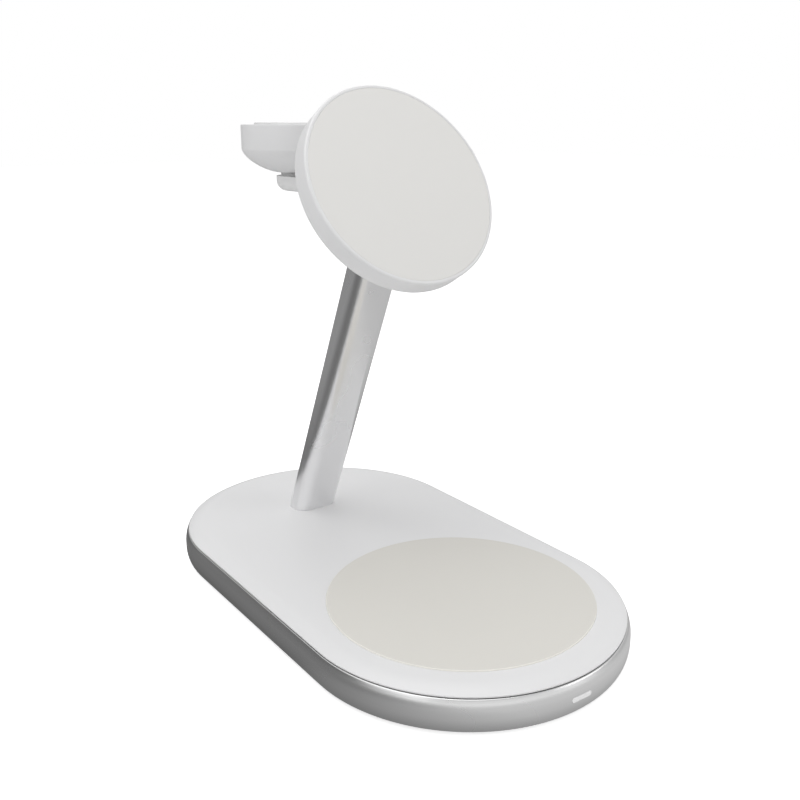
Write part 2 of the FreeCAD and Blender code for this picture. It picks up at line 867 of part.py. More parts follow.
def arm_web():
    """Concave rib between the barrel and the underside of the arm."""
    low = arm_under - web_radius
    reach = barrel_radius + web_radius
    drop = hinge.z - low
    run = math.sqrt(reach ** 2 - drop ** 2)
    middle = FreeCAD.Vector(0, hinge.y + run, low)
    on_barrel = hinge + (middle - hinge) * (barrel_radius / reach)
    on_arm = middle + Z_AXIS * web_radius
    via = middle + ((on_barrel - middle) + (on_arm - middle)).normalize() * web_radius
    above = Z_AXIS * (arm_thickness / 2)
    start = FreeCAD.Vector(0, hinge.y, arm_under)
    edges = [Part.Arc(on_barrel, via, on_arm).toShape()]
    for here, there in ((on_arm, on_arm + above), (on_arm + above, start + above), (start + above, hinge),
                        (hinge, on_barrel)):
        edges.append(Part.LineSegment(here, there).toShape())
    face = Part.Face(Part.Wire(edges)).translated(X_AXIS * -web_half_width)
    return face.extrude(X_AXIS * (2 * web_half_width))


def knuckle_space():
    """Room in the barrel for the knuckle of the disc over its whole tilt."""
    radius = lug_radius + slot_clearance
    start = hinge - X_AXIS * slot_half_width
    spaces = [Part.makeCylinder(radius, 2 * slot_half_width, start, X_AXIS)]
    slab = block(-slot_half_width, slot_half_width, -radius, radius, 0, 2 * hinge_depth)
    for lean in (disc_lean - tilt_upright, disc_lean, disc_lean + tilt_back):
        spaces.append(put(slab, FreeCAD.Placement(hinge, FreeCAD.Rotation(X_AXIS, 90.0 - lean))))
    return spaces


def bracket_holes():
    """Bores for the hinge pin, its caps, the pivot and the leads."""
    half = arm_half_width
    holes = [Part.makeCylinder(pin_radius + pin_fit_gap, 2 * half, hinge - X_AXIS * half, X_AXIS)]
    for side in (-1, 1):
        face = hinge + X_AXIS * (side * (half - cap_thickness))
        holes.append(Part.makeCylinder(cap_radius + cap_gap, OVERRUN, face, X_AXIS * side))
    low = stem_foot + stem_way * (stem_top - plug_length - OVERRUN)
    length = hinge_along_stem() - lug_radius - (stem_top - plug_length - OVERRUN)
    holes.append(Part.makeCylinder(lead_radius + channel_gap, length, low, stem_way))
    groove_top = arm_under + arm_groove_depth
    groove_start = hinge.y + arm_groove_start
    holes.append(block(-arm_groove_half, arm_groove_half, groove_start, watch_y,
                       arm_under - OVERRUN, groove_top))
    holes.append(disc(arm_groove_half, arm_under - OVERRUN, groove_top, watch_axis))
    holes.append(disc(pivot_radius, groove_top, arm_top + OVERRUN, watch_axis))
    holes.append(arm_cover_plate(fit_gap, -OVERRUN))
    lead_start = FreeCAD.Vector(0, hinge.y, arm_lead_level())
    lead_bore = arm_lead_radius + fit_gap
    holes.append(Part.makeCylinder(lead_bore, arm_groove_start + OVERRUN, lead_start, Y_AXIS))
    return holes


def arm_lead_level():
    """Height of the lead that runs along the arm."""
    return arm_under + arm_cover_thickness + arm_lead_radius


def arm_cover_plate(grow, low):
    """Outline of the cover under the arm, grown by a margin."""
    half = arm_cover_half + grow
    front = hinge.y + arm_groove_start - arm_groove_half - grow
    back = watch_y + arm_cover_half + grow
    top = arm_under + arm_cover_thickness
    return soft_block(-half, half, front, back, half - fit_gap, arm_under + low, top)


def arm_cover():
    """Cover that closes the lead groove under the arm."""
    return arm_cover_plate(0, 0)


def arm_lead():
    """Lead along the arm that turns up through the pivot."""
    level = arm_lead_level()
    start = FreeCAD.Vector(0, hinge.y + lug_radius + 2 * slot_clearance, level)
    corner = FreeCAD.Vector(0, watch_y, level)
    end = FreeCAD.Vector(0, watch_y, level + arm_lead_rise)
    return bent_lead([start, corner, end], arm_lead_radius, arm_lead_bend)


def hinge_pin():
    """Steel pin of the tilt hinge."""
    half = arm_half_width - cap_thickness
    return Part.makeCylinder(pin_radius, 2 * half, hinge - X_AXIS * half, X_AXIS)


def hinge_caps():
    """Two caps that close the ends of the hinge barrel."""
    caps = []
    for side in (-1, 1):
        face = hinge + X_AXIS * (side * (arm_half_width - cap_thickness))
        caps.append(Part.makeCylinder(cap_radius, cap_thickness, face, X_AXIS * side))
    return Part.Compound(caps)


def hinge_washers():
    """Two friction washers that hold the disc at the angle it is left at."""
    washers = []
    thickness = slot_half_width - lug_half_width - swivel_gap
    for side in (-1, 1):
        face = hinge + X_AXIS * (side * (lug_half_width + swivel_gap))
        plate = Part.makeCylinder(washer_radius, thickness, face, X_AXIS * side)
        hole = Part.makeCylinder(pin_radius + pin_fit_gap, thickness, face, X_AXIS * side)
        washers.append(plate.cut(hole))
    return Part.Compound(washers)


def ferrite_floor():
    """Height, above the back of the disc, at which shield and magnets sit."""
    return disc_floor + lug_flange_thickness


def phone_disc_housing():
    """Back shell of the disc: a shallow cup with a seat for the magnets."""
    top = disc_thickness
    back = disc_back_round
    front = disc_front_round
    pad_seat = disc_pad_seat
    inner = disc_radius - disc_wall
    seat = disc_seat
    section = outline(in_xz, (0, 0), (disc_radius - back, 0), ((disc_radius, 0), (disc_radius, back)),
                      (disc_radius, top - front), ((disc_radius, top), (disc_radius - front, top)),
                      (face_pad_radius + swivel_gap, top), (face_pad_radius + swivel_gap, pad_seat),
                      (inner, pad_seat), (inner, seat), (magnet_inner - fit_gap, seat),
                      (magnet_inner - fit_gap, disc_floor), (0, disc_floor))
    across = lug_half_width + fit_gap
    along = lug_radius + fit_gap
    holes = [block(-across, across, -along, along, -OVERRUN, disc_floor + OVERRUN)]
    for place in lug_screw_places():
        holes.append(disc(lug_screw_radius, disc_floor - lug_screw_bite, disc_floor + OVERRUN, place))
    return put(spin(section).cut(holes), disc_place)


def lug_screw_places():
    """Three places, in the frame of the disc, where the knuckle is screwed down."""
    places = []
    for step in range(lug_screw_count):
        turn = math.radians(lug_screw_start + step * 360.0 / lug_screw_count)
        places.append(FreeCAD.Vector(lug_screw_pitch * math.cos(turn), lug_screw_pitch * math.sin(turn), 0))
    return places


def phone_hinge_lug():
    """Cast knuckle that turns on the hinge pin, with a round flange inside the disc."""
    top = ferrite_floor()
    flange = disc(lug_flange_radius, disc_floor, top)
    neck = block(-lug_half_width, lug_half_width, -lug_radius, lug_radius, -hinge_depth, top)
    start = FreeCAD.Vector(-lug_half_width, 0, -hinge_depth)
    round_end = Part.makeCylinder(lug_radius, 2 * lug_half_width, start, X_AXIS)
    bore = Part.makeCylinder(pin_radius + pin_run_gap, 2 * lug_half_width, start, X_AXIS)
    holes = [bore]
    head_low = top - lug_screw_head_height
    for place in lug_screw_places():
        holes.append(disc(lug_screw_radius + fit_gap, disc_floor - OVERRUN, top, place))
        holes.append(disc(lug_screw_head_radius + fit_gap, head_low, top + OVERRUN, place))
    return put(join(flange, neck, round_end).cut(holes), disc_place)


def phone_lug_screws():
    """Three sunk screws that hold the knuckle in the disc."""
    top = ferrite_floor()
    screws = []
    for place in lug_screw_places():
        head = disc(lug_screw_head_radius, top - lug_screw_head_height, top, place)
        shank = disc(lug_screw_radius, disc_floor - lug_screw_bite, top - lug_screw_head_height, place)
        screws.append(join(head, shank))
    return put(Part.Compound(screws), disc_place)


def phone_board():
    """Ring shaped board on the floor of the disc."""
    board = ring(disc_board_inner, disc_board_outer, disc_floor, disc_floor + disc_board_thickness)
    return put(board, disc_place)


def phone_ferrite():
    """Shield plate behind the phone coil."""
    low = ferrite_floor()
    return put(disc(disc_ferrite_radius, low, low + disc_ferrite_thickness), disc_place)


def phone_coil():
    """Flat charging coil of the disc."""
    coil = ring(disc_coil_inner, disc_coil_outer, disc_seat, disc_seat + magnet_thickness)
    return put(coil, disc_place)


def phone_magnet_ring():
    """Ring of separate magnets that holds the phone."""
    low = disc_seat
    pitch = 360.0 / magnet_count
    arc = pitch - math.degrees(magnet_gap / magnet_inner)
    start = FreeCAD.Vector(0, 0, low)
    wedge = Part.makeCylinder(magnet_outer, magnet_thickness, start, Z_AXIS, arc)
    magnet = wedge.cut(disc(magnet_inner, low - OVERRUN, low + magnet_thickness + OVERRUN))
    magnets = [magnet.rotated(CENTRE, Z_AXIS, pitch * step) for step in range(magnet_count)]
    return put(Part.Compound(magnets), disc_place)


def phone_front_plate():
    """Plate that closes the disc over the coil and the magnets."""
    plate = disc(magnet_outer, disc_seat + magnet_thickness, disc_pad_seat)
    return put(plate, disc_place)


def phone_face_pad():
    """Soft face that the phone rests against."""
    low = disc_pad_seat
    turn = face_pad_round
    section = outline(in_xz, (0, low), (face_pad_radius, low), (face_pad_radius, disc_thickness - turn),
                      ((face_pad_radius, disc_thickness), (face_pad_radius - turn, disc_thickness)),
                      (0, disc_thickness))
    return put(spin(section), disc_place)


def watch_pivot_tube():
    """Hollow pivot in the arm, with a collar under the cradle."""
    low = arm_under + arm_groove_depth
    top = clip_level() + clip_thickness + pivot_lip
    tube = disc(pivot_radius, low, top, watch_axis)
    collar = disc(neck_radius, arm_top, bowl_level - swivel_gap, watch_axis)
    bore = disc(pivot_bore, low - OVERRUN, top + OVERRUN, watch_axis)
    return join(tube, collar).cut(bore)


def clip_level():
    """Height of the retaining clip on the pivot."""
    return bowl_level + cradle_floor + swivel_gap + spring_thickness


def watch_friction_washer():
    """Washer between the floor of the cradle and its clip."""
    low = bowl_level + cradle_floor + swivel_gap
    return ring(pivot_radius, clip_radius, low, clip_level(), watch_axis)


def watch_retaining_clip():
    """Clip that keeps the cradle on its pivot."""
    return ring(pivot_radius, clip_radius, clip_level(), clip_level() + clip_thickness, watch_axis)


def watch_bowl():
    """Round bowl of the watch cradle, turned in one piece with a rib for its board."""
    hole = pivot_radius + swivel_gap
    floor = bowl_level + cradle_floor
    inner = cradle_radius - cradle_wall
    lip = cradle_radius - cradle_rim
    turn = cradle_rim_round
    section = outline(in_xz, (hole, bowl_level), (cradle_flat, bowl_level),
                      ((cradle_radius, bowl_level), (cradle_radius, wall_level)),
                      (cradle_radius, rim_level - turn),
                      ((cradle_radius, rim_level), (cradle_radius - turn, rim_level)),
                      (lip, rim_level), (lip, top_cover_under), (inner, top_cover_under),
                      (inner, wall_level), ((inner, floor), (cradle_flat, floor)), (hole, floor))
    rib_low = floor - cradle_floor / 4
    rib = ring(watch_rib_radius - watch_rib_thickness, watch_rib_radius, rib_low, floor + watch_rib_height)
    return join(spin(section), rib).translated(watch_axis)


def watch_top_cover():
    """Ring that closes the cradle round the puck."""
    return ring(top_cover_inner, top_cover_outer, top_cover_under, rim_level, watch_axis)


def watch_puck():
    """Raised round face, slightly dished, that the back of the watch rests on."""
    top = rim_level + puck_proud
    turn = puck_round
    flange = puck_radius + puck_flange
    section = outline(in_xz, (0, puck_under), (flange, puck_under), (flange, top_cover_under),
                      (puck_radius, top_cover_under), (puck_radius, top - turn),
                      ((puck_radius, top), (puck_radius - turn, top)), (0, top))
    dish = Part.makeSphere(puck_dish_radius, Z_AXIS * (top - puck_dish_depth + puck_dish_radius))
    return spin(section).cut(dish).translated(watch_axis)


def watch_coil():
    """Charging coil under the puck."""
    low = puck_under - watch_coil_thickness
    return ring(watch_coil_inner, watch_coil_outer, low, puck_under, watch_axis)


def watch_magnet():
    """Magnet in the middle of the coil."""
    return disc(watch_magnet_radius, puck_under - watch_coil_thickness, puck_under, watch_axis)


def watch_ferrite():
    """Shield plate under the coil."""
    top = puck_under - watch_coil_thickness
    return disc(watch_ferrite_radius, top - watch_ferrite_thickness, top, watch_axis)


def watch_board():
    """Ring shaped board on the rib of the bowl."""
    low = bowl_level + cradle_floor + watch_rib_height
    return ring(watch_board_inner, watch_board_outer, low, low + watch_board_thickness, watch_axis)


PIECES = (
    base_frame, base_top_cover, base_bottom_cover, foot_ring, base_screws,
    earbud_pad, earbud_coil, earbud_ferrite, earbud_coil_carrier,
    main_circuit_board, usb_board, usb_c_socket, indicator_window, indicator_board,
    base_weight, stem_socket, stem_socket_screws, stem_tube, stem_harness, power_lead,
    head_bracket, arm_cover, arm_lead, hinge_pin, hinge_caps, hinge_washers,
    watch_pivot_tube, watch_friction_washer, watch_retaining_clip,
    phone_disc_housing, phone_hinge_lug, phone_lug_screws, phone_board, phone_ferrite,
    phone_coil, phone_magnet_ring, phone_front_plate, phone_face_pad,
    watch_bowl, watch_top_cover, watch_puck, watch_coil, watch_magnet, watch_ferrite, watch_board,
)

os.makedirs("parts", exist_ok=True)
for piece in PIECES:
    shape = piece()
    shape.exportStep("parts/" + piece.__name__ + ".step")
    print(piece.__name__, len(shape.Solids), round(shape.Volume, 1), shape.isValid())
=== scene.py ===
import json
import logging
import math
from dataclasses import dataclass, field, replace
from enum import Enum
from typing import Sequence

import bmesh
import bpy
from mathutils import Matrix, Vector


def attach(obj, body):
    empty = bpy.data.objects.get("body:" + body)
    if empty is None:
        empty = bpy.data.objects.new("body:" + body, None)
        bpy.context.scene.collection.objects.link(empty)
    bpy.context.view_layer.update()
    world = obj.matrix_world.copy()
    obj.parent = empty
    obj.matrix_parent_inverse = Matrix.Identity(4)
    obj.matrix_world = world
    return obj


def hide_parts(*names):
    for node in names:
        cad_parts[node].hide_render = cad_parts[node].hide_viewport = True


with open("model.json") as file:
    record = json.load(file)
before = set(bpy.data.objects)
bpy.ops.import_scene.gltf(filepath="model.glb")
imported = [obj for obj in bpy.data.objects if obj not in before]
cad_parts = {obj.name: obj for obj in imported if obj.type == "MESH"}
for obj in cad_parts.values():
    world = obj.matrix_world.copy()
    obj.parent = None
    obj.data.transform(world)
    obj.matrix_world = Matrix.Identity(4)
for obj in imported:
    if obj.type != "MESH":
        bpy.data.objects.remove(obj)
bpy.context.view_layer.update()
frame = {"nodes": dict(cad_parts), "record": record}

LOG = logging.getLogger("charger")
MM = 0.001
QUARTER = math.pi / 2
MERGE = 1e-6  # points nearer than this, in metres, become one
SHARP = 32.0  # edges that turn by more than this, in degrees, stay sharp
ROUND_END = 0.999  # share of its half height that the round end of a slot takes
FILLET_END = 0.99999  # share of the half width that a corner of the swept path takes
STADIUM_STEPS = 72
SWEEP_STEPS = 40
OVAL_STEPS = 14
SLOT_STEPS = 12
FINE_DETAIL = 3.0
BROAD_DETAIL = 2.0
BROAD_SCALE = 28.0
BUMP_STRENGTH = 0.4

Profile = list[tuple[float, float]]
Corner = tuple[float, float, float]
Inputs = dict[int | str, object]
Tones = tuple[tuple[float, float], ...]
Tree = bpy.types.NodeTree
Node = bpy.types.Node
Socket = bpy.types.NodeSocket
Object = bpy.types.Object


class Body(Enum):
    """The rigid bodies of the charger."""

    BASE = "root"
    PHONE = "phone_head"
    WATCH = "watch_cradle"


class Slot(Enum):
    """The material slots of the charger."""

    ALUMINIUM = "silver_aluminium"
    WHITE = "white_plastic"
    PAINT = "white_paint"
    PAD = "pad_silicone"
    GLOSS = "white_gloss"
    LIGHT = "light_guide"
    FOOT = "foot_rubber"
    INNER = "inner_plastic"
    STEEL = "steel"
    CAST = "cast_metal"
    COPPER = "copper_wire"
    FERRITE = "ferrite"
    MAGNET = "magnet_plate"
    BOARD = "circuit_board"
    JACKET = "lead_jacket"


def grey(tone: float) -> tuple[float, float, float, float]:
    """Opaque grey of a tone."""
    return (tone, tone, tone, 1.0)


def fill(tree: Tree, node: Node, inputs: Inputs) -> None:
    """Links or sets inputs of a node.

    Args:
        tree: the tree that the node is in.
        node: the node.
        inputs: by the input's name or number, a socket to link or a value.
    """
    for key, given in inputs.items():
        if isinstance(given, Socket):
            tree.links.new(given, node.inputs[key])
        else:
            node.inputs[key].default_value = given


def add_node(tree: Tree, kind: str, inputs: Inputs | None = None,
             **settings: object) -> Node:
    """Adds a node to a tree.

    Args:
        tree: the tree.
        kind: type of the node.
        inputs: by the input's name or number, a socket to link or a value.
        settings: settings of the node, such as its operation.

    Returns:
        The new node.
    """
    node = tree.nodes.new(kind)
    for name, value in settings.items():
        setattr(node, name, value)
    fill(tree, node, inputs or {})
    return node


def first_of(tree: Tree, kind: str, *values: object, **settings: object) -> Socket:
    """First output of a new node whose first inputs are the values."""
    return add_node(tree, kind, dict(enumerate(values)), **settings).outputs[0]


def new_tree(name: str, kind: str, inputs: dict[str, str], outputs: dict[str, str],
             ) -> tuple[Tree, bpy.types.bpy_prop_collection, Node]:
    """Makes a node group with its sockets.

    Args:
        name: name of the group.
        kind: Shader or Geometry.
        inputs: socket type of each input, by its name.
        outputs: socket type of each output, by its name.

    Returns:
        The tree, the sockets that bring its inputs, and its output node.
    """
    tree = bpy.data.node_groups.new(name, kind + "NodeTree")
    for way, sockets in (("INPUT", inputs), ("OUTPUT", outputs)):
        for label, socket in sockets.items():
            tree.interface.new_socket(label, in_out=way, socket_type="NodeSocket" + socket)
    given = tree.nodes.new("NodeGroupInput")
    return tree, given.outputs, tree.nodes.new("NodeGroupOutput")


def tone_ramp(tree: Tree, value: Socket, span: tuple[float, float],
              tones: Tones) -> Socket:
    """Turns a value into a grey tone.

    Args:
        tree: the tree.
        value: socket with the value.
        span: the values at positions 0 and 1.
        tones: (position, tone) pairs, from low to high.

    Returns:
        The socket with the tone.
    """
    reach = add_node(tree, "ShaderNodeMapRange", {"Value": value, "From Min": span[0], "From Max": span[1]})
    ramp = add_node(tree, "ShaderNodeValToRGB", {0: reach.outputs[0]})
    elements = ramp.color_ramp.elements
    while len(elements) < len(tones):
        elements.new(0.5)
    for element, (position, tone) in zip(elements, tones):
        element.position = position
        element.color = grey(tone)
    return ramp.outputs[0]


def graded(tree: Tree, place: Socket, way: tuple[float, float, float],
           span: tuple[float, float], tones: Tones) -> Socket:
    """Grey tone that changes along a direction.

    Args:
        tree: the tree.
        place: socket with the place or direction of the point.
        way: the direction.
        span: how far along it positions 0 and 1 lie.
        tones: (position, tone) pairs, from low to high.

    Returns:
        The socket with the tone.
    """
    side = add_node(tree, "ShaderNodeVectorMath", {0: place, 1: way}, operation="DOT_PRODUCT")
    return tone_ramp(tree, side.outputs["Value"], span, tones)


def grain_group() -> Tree:
    """Builds the shared fine grain, whose height, roughness and colour vary over the surface.

    Returns:
        The node group, with inputs Vector, Colour, Size, Roughness, Spread and Tone.
    """
    name = "fine_grain"
    if name in bpy.data.node_groups:
        return bpy.data.node_groups[name]
    tree, given, result = new_tree(
        name, "Shader",
        {"Vector": "Vector", "Colour": "Color", "Size": "Float", "Roughness": "Float", "Spread": "Float",
         "Tone": "Float"},
        {"Colour": "Color", "Roughness": "Float", "Height": "Float"})
    fine = add_node(tree, "ShaderNodeTexNoise",
                    {"Detail": FINE_DETAIL, "Vector": given["Vector"], "Scale": given["Size"]})
    broad = add_node(tree, "ShaderNodeTexNoise",
                     {"Detail": BROAD_DETAIL, "Vector": given["Vector"], "Scale": BROAD_SCALE})
    centred = first_of(tree, "ShaderNodeMath", broad.outputs["Fac"], 0.5, operation="SUBTRACT")
    rough = first_of(tree, "ShaderNodeMath", centred, given["Spread"], given["Roughness"],
                     operation="MULTIPLY_ADD")
    bright = first_of(tree, "ShaderNodeMath", centred, given["Tone"], 1.0, operation="MULTIPLY_ADD")
    shade = add_node(tree, "ShaderNodeVectorMath", {0: given["Colour"], "Scale": bright}, operation="SCALE")
    fill(tree, result, {"Colour": shade.outputs[0], "Roughness": rough, "Height": fine.outputs["Fac"]})
    return tree


@dataclass(frozen=True)
class Finish:
    """How a surface looks.

    Args:
        name: material name.
        slot: the record's slot it belongs to.
        colour: linear base colour.
        roughness: middle of the roughness.
        metallic: 1 for bare metal.
        grain: grains per metre of the fine texture.
        depth: height of the texture in metres.
        spread: how far the roughness wanders.
        tone: how far the brightness wanders.
        glow: emission strength of a lit surface.
        coat: weight of a clear coat.
        specular: strength of the plain reflection.
        heights: (height in metres, tone) pairs that paint shade and highlights into the colour, from low to
            high.
    """

    name: str
    slot: Slot
    colour: tuple[float, float, float]
    roughness: float
    metallic: float = 0.0
    grain: float = 2400.0
    depth: float = 0.00002
    spread: float = 0.08
    tone: float = 0.03
    glow: float = 0.0
    coat: float = 0.0
    specular: float = 0.5
    heights: Tones = ()

    def shade(self, tree: Tree, place: Socket,
              colour: Socket) -> Socket:
        """Paints shade and highlights into a colour by its height above the floor.

        Args:
            tree: node tree of the material.
            place: socket with the place of the point.
            colour: socket with the colour.

        Returns:
            The socket with the shaded colour.
        """
        top = self.heights[-1][0]
        split = add_node(tree, "ShaderNodeSeparateXYZ", {0: place})
        tones = tuple((height / top, tone) for height, tone in self.heights)
        tone = tone_ramp(tree, split.outputs["Z"], (0.0, top), tones)
        return first_of(tree, "ShaderNodeVectorMath", colour, tone, operation="MULTIPLY")

    def material(self) -> bpy.types.Material:
        """Builds the material, unless it is there already.

        Returns:
            The material.
        """
        if self.name in bpy.data.materials:
            return bpy.data.materials[self.name]
        material = bpy.data.materials.new(self.name)
        material.use_nodes = True
        material.diffuse_color = (*self.colour, 1.0)
        tree = material.node_tree
        place = add_node(tree, "ShaderNodeTexCoord").outputs["Object"]
        grain = add_node(tree, "ShaderNodeGroup",
                         {"Vector": place, "Colour": (*self.colour, 1.0), "Size": self.grain,
                          "Roughness": self.roughness, "Spread": self.spread, "Tone": self.tone},
                         node_tree=grain_group()).outputs
        # painted shade and highlights by height, where the finish lists them
        colour = self.shade(tree, place, grain["Colour"]) if self.heights else grain["Colour"]
        bump = add_node(tree, "ShaderNodeBump",
                        {"Strength": BUMP_STRENGTH, "Distance": self.depth, "Height": grain["Height"]})
        shader = tree.nodes["Principled BSDF"]
        fill(tree, shader, {"Base Color": colour, "Roughness": grain["Roughness"],
                            "Normal": bump.outputs["Normal"], "Metallic": self.metallic,
                            "Coat Weight": self.coat, "Specular IOR Level": self.specular})
        if self.glow > 0.0:
            fill(tree, shader, {"Emission Color": grain["Colour"], "Emission Strength": self.glow})
        return material


FINISHES = (
    Finish("blasted_aluminium", Slot.ALUMINIUM, (0.90, 0.90, 0.905), 0.28, metallic=1.0, grain=5200.0,
           depth=0.000012, spread=0.05, tone=0.02),
    Finish("satin_white", Slot.WHITE, (0.77, 0.77, 0.775), 0.42, grain=3600.0, depth=0.000014),
    Finish("white_enamel", Slot.PAINT, (0.80, 0.80, 0.80), 0.38, grain=1800.0, depth=0.00001),
    Finish("warm_silicone", Slot.PAD, (0.705, 0.69, 0.648), 0.62, grain=3000.0, depth=0.00003, tone=0.02,
           specular=0.3),
    Finish("gloss_white", Slot.GLOSS, (0.78, 0.78, 0.78), 0.22, grain=900.0, depth=0.000004),
    Finish("milky_guide", Slot.LIGHT, (0.80, 0.80, 0.80), 0.3, glow=0.12, tone=0.0),
    Finish("grey_foot", Slot.FOOT, (0.30, 0.30, 0.30), 0.7, grain=2200.0, depth=0.00004),
    Finish("moulded_inner", Slot.INNER, (0.55, 0.55, 0.53), 0.5),
    Finish("plated_steel", Slot.STEEL, (0.58, 0.58, 0.60), 0.28, metallic=1.0),
    Finish("cast_zinc", Slot.CAST, (0.50, 0.50, 0.50), 0.42, metallic=1.0, grain=1500.0, depth=0.00004),
    Finish("lacquered_copper", Slot.COPPER, (0.62, 0.30, 0.16), 0.3, metallic=1.0, coat=0.4),
    Finish("dark_ferrite", Slot.FERRITE, (0.05, 0.05, 0.055), 0.55, grain=1600.0),
    Finish("nickel_plate", Slot.MAGNET, (0.62, 0.61, 0.58), 0.2, metallic=1.0),
    Finish("green_lacquer", Slot.BOARD, (0.03, 0.16, 0.08), 0.35, coat=0.3, tone=0.2),
    Finish("soft_jacket", Slot.JACKET, (0.05, 0.05, 0.05), 0.6),
)
FINISH_OF = {finish.slot: finish for finish in FINISHES}
# The band's colour is darker towards its foot and its top edge and brightest just below the rim: painted
# shade and a painted highlight.
BAND_PAINTED_LIGHT = replace(FINISH_OF[Slot.ALUMINIUM], name="blasted_band_painted_light", colour=(0.985, 0.985, 0.985),
               heights=((0.0006, 0.47), (0.0050, 0.88), (0.0074, 1.0), (0.0087, 0.93), (0.0096, 0.74),
                        (0.0100, 0.48)))
# The pad's rounded edge is coloured lighter than its flat top: a painted highlight.
EARBUD_PAD = replace(FINISH_OF[Slot.PAD], name="silicone_painted_edge_highlight", colour=(0.881, 0.862, 0.810),
                     heights=((0.0110, 1.0), (0.01225, 1.0), (0.01234, 0.80)))
DISC_FACE = replace(FINISH_OF[Slot.PAD], name="pale_silicone", colour=(0.775, 0.768, 0.748), roughness=0.58,
                    depth=0.00002, tone=0.015)
COLLAR = Finish("painted_collar", Slot.CAST, (0.74, 0.74, 0.74), 0.45)


def soften(corners: Sequence[Corner], steps: int = 8) -> Profile:
    """Rounds the corners of a closed outline.

    Args:
        corners: (x, y, radius) of each corner.
        steps: straight pieces in each rounded corner.

    Returns:
        The points of the outline, in order.
    """
    points: Profile = []
    count = len(corners)
    for index, (x, y, radius) in enumerate(corners):
        if radius <= 0.0:
            points.append((x, y))
            continue
        here = Vector((x, y))
        before = (Vector(corners[index - 1][:2]) - here).normalized()
        after = (Vector(corners[(index + 1) % count][:2]) - here).normalized()
        half = before.angle(after) / 2
        middle = here + (before + after).normalized() * (radius / math.sin(half))
        start = here + before * (radius / math.tan(half)) - middle
        end = here + after * (radius / math.tan(half)) - middle
        sweep = start.angle_signed(end)
        for step in range(steps + 1):
            turn = -sweep * step / steps
            points.append((middle.x + start.x * math.cos(turn) - start.y * math.sin(turn),
                           middle.y + start.x * math.sin(turn) + start.y * math.cos(turn)))
    return points


def arc(middle: tuple[float, float], across: float, along: float, first: float, last: float,
        steps: int, fullness: float = 2.0) -> Profile:
    """Points along part of an ellipse.

    Args:
        middle: (radius, height) of its middle.
        across: half width.
        along: half height.
        first: angle of its first point, in radians above the outward direction.
        last: angle of its last point.
        steps: straight pieces along it.
        fullness: 2 is a true ellipse, and less makes it leaner.

    Returns:
        Its points as (radius, height).
    """
    points = []
    for step in range(steps + 1):
        turn = first + (last - first) * step / steps
        out, up = (math.copysign(abs(way) ** (2 / fullness), way) for way in (math.cos(turn), math.sin(turn)))
        points.append((middle[0] + across * out, middle[1] + along * up))
    return points


def settle(bm: bmesh.types.BMesh, sharp: float) -> None:
    """Merges doubles, points the faces outwards and marks sharp edges.

    Args:
        bm: the mesh to settle.
        sharp: edges that turn by more than this angle, in degrees, stay sharp.
    """
    bmesh.ops.remove_doubles(bm, verts=bm.verts, dist=MERGE)
    bmesh.ops.dissolve_degenerate(bm, edges=bm.edges, dist=MERGE)
    bmesh.ops.recalc_face_normals(bm, faces=bm.faces)
    if bm.calc_volume(signed=True) < 0.0:
        bmesh.ops.reverse_faces(bm, faces=bm.faces)
    limit = math.radians(sharp)
    for face in bm.faces:
        face.smooth = True
    for edge in bm.edges:
        edge.smooth = len(edge.link_faces) == 2 and edge.calc_face_angle(0.0) < limit


def add_object(name: str, data: bpy.types.ID) -> Object:
    """Puts an object in the scene.

    Args:
        name: its name.
        data: its mesh, camera or lamp.

    Returns:
        The new object.
    """
    thing = bpy.data.objects.new(name, data)
    bpy.context.scene.collection.objects.link(thing)
    return thing


def new_piece(name: str, bm: bmesh.types.BMesh) -> Object:
    """Turns a mesh into an object of the scene.

    Args:
        name: name of the piece.
        bm: its mesh, which is settled and used up.

    Returns:
        The new piece.
    """
    settle(bm, SHARP)
    mesh = bpy.data.meshes.new(name)
    bm.to_mesh(mesh)
    bm.free()
    return add_object(name, mesh)


def loft(name: str, loops: Sequence[Sequence[Vector]], ring: bool = False, caps: bool = True) -> Object:
    """Skins a row of closed loops.

    Args:
        name: name of the piece.
        loops: closed loops with equal numbers of points.
        ring: joins the last loop to the first.
        caps: closes both ends of a row that is no ring.

    Returns:
        The new piece.
    """
    bm = bmesh.new()
    rows = [[bm.verts.new(point) for point in loop] for loop in loops]
    pairs = list(zip(rows, rows[1:]))
    if ring:
        pairs.append((rows[-1], rows[0]))
    for low, high in pairs:
        for index in range(len(low)):
            after = (index + 1) % len(low)
            bm.faces.new((low[index], low[after], high[after], high[index]))
    if caps and not ring:
        bm.faces.new(rows[0])
        bm.faces.new(rows[-1])
    return new_piece(name, bm)


def turned(name: str, profile: Profile, place: Matrix, steps: int) -> Object:
    """Turns an outline of (radius, height) about the local Z axis.

    Args:
        name: name of the piece.
        profile: closed outline, or one that starts and ends on the axis.
        place: frame of the axis.
        steps: flats round the axis.

    Returns:
        The new piece.
    """
    solid = profile[0][0] == 0.0 and profile[-1][0] == 0.0
    loops = []
    for radius, height in profile:
        loop = []
        for step in range(steps):
            turn = 2 * math.pi * step / steps
            loop.append(place @ Vector((radius * math.cos(turn), radius * math.sin(turn), height)))
        loops.append(loop)
    return loft(name, loops, ring=not solid, caps=False)


def oval(width: float, height: float, corner: float, steps: int) -> Profile:
    """Outline of a flat oval about the origin."""
    x, y = width / 2, height / 2
    return soften([(-x, -y, corner), (x, -y, corner), (x, y, corner), (-x, y, corner)], steps)


def oval_loop(width: float, depth: float, corner: float, height: float, place: Matrix) -> list[Vector]:
    """Points of a flat oval across the local Z axis.

    Args:
        width: size along the local X axis.
        depth: size along the local Y axis.
        corner: radius of its corners.
        height: place along the local Z axis.
        place: the local frame.

    Returns:
        The points of the closed loop.
    """
    return [place @ Vector((x, y, height)) for x, y in oval(width, depth, corner, OVAL_STEPS)]


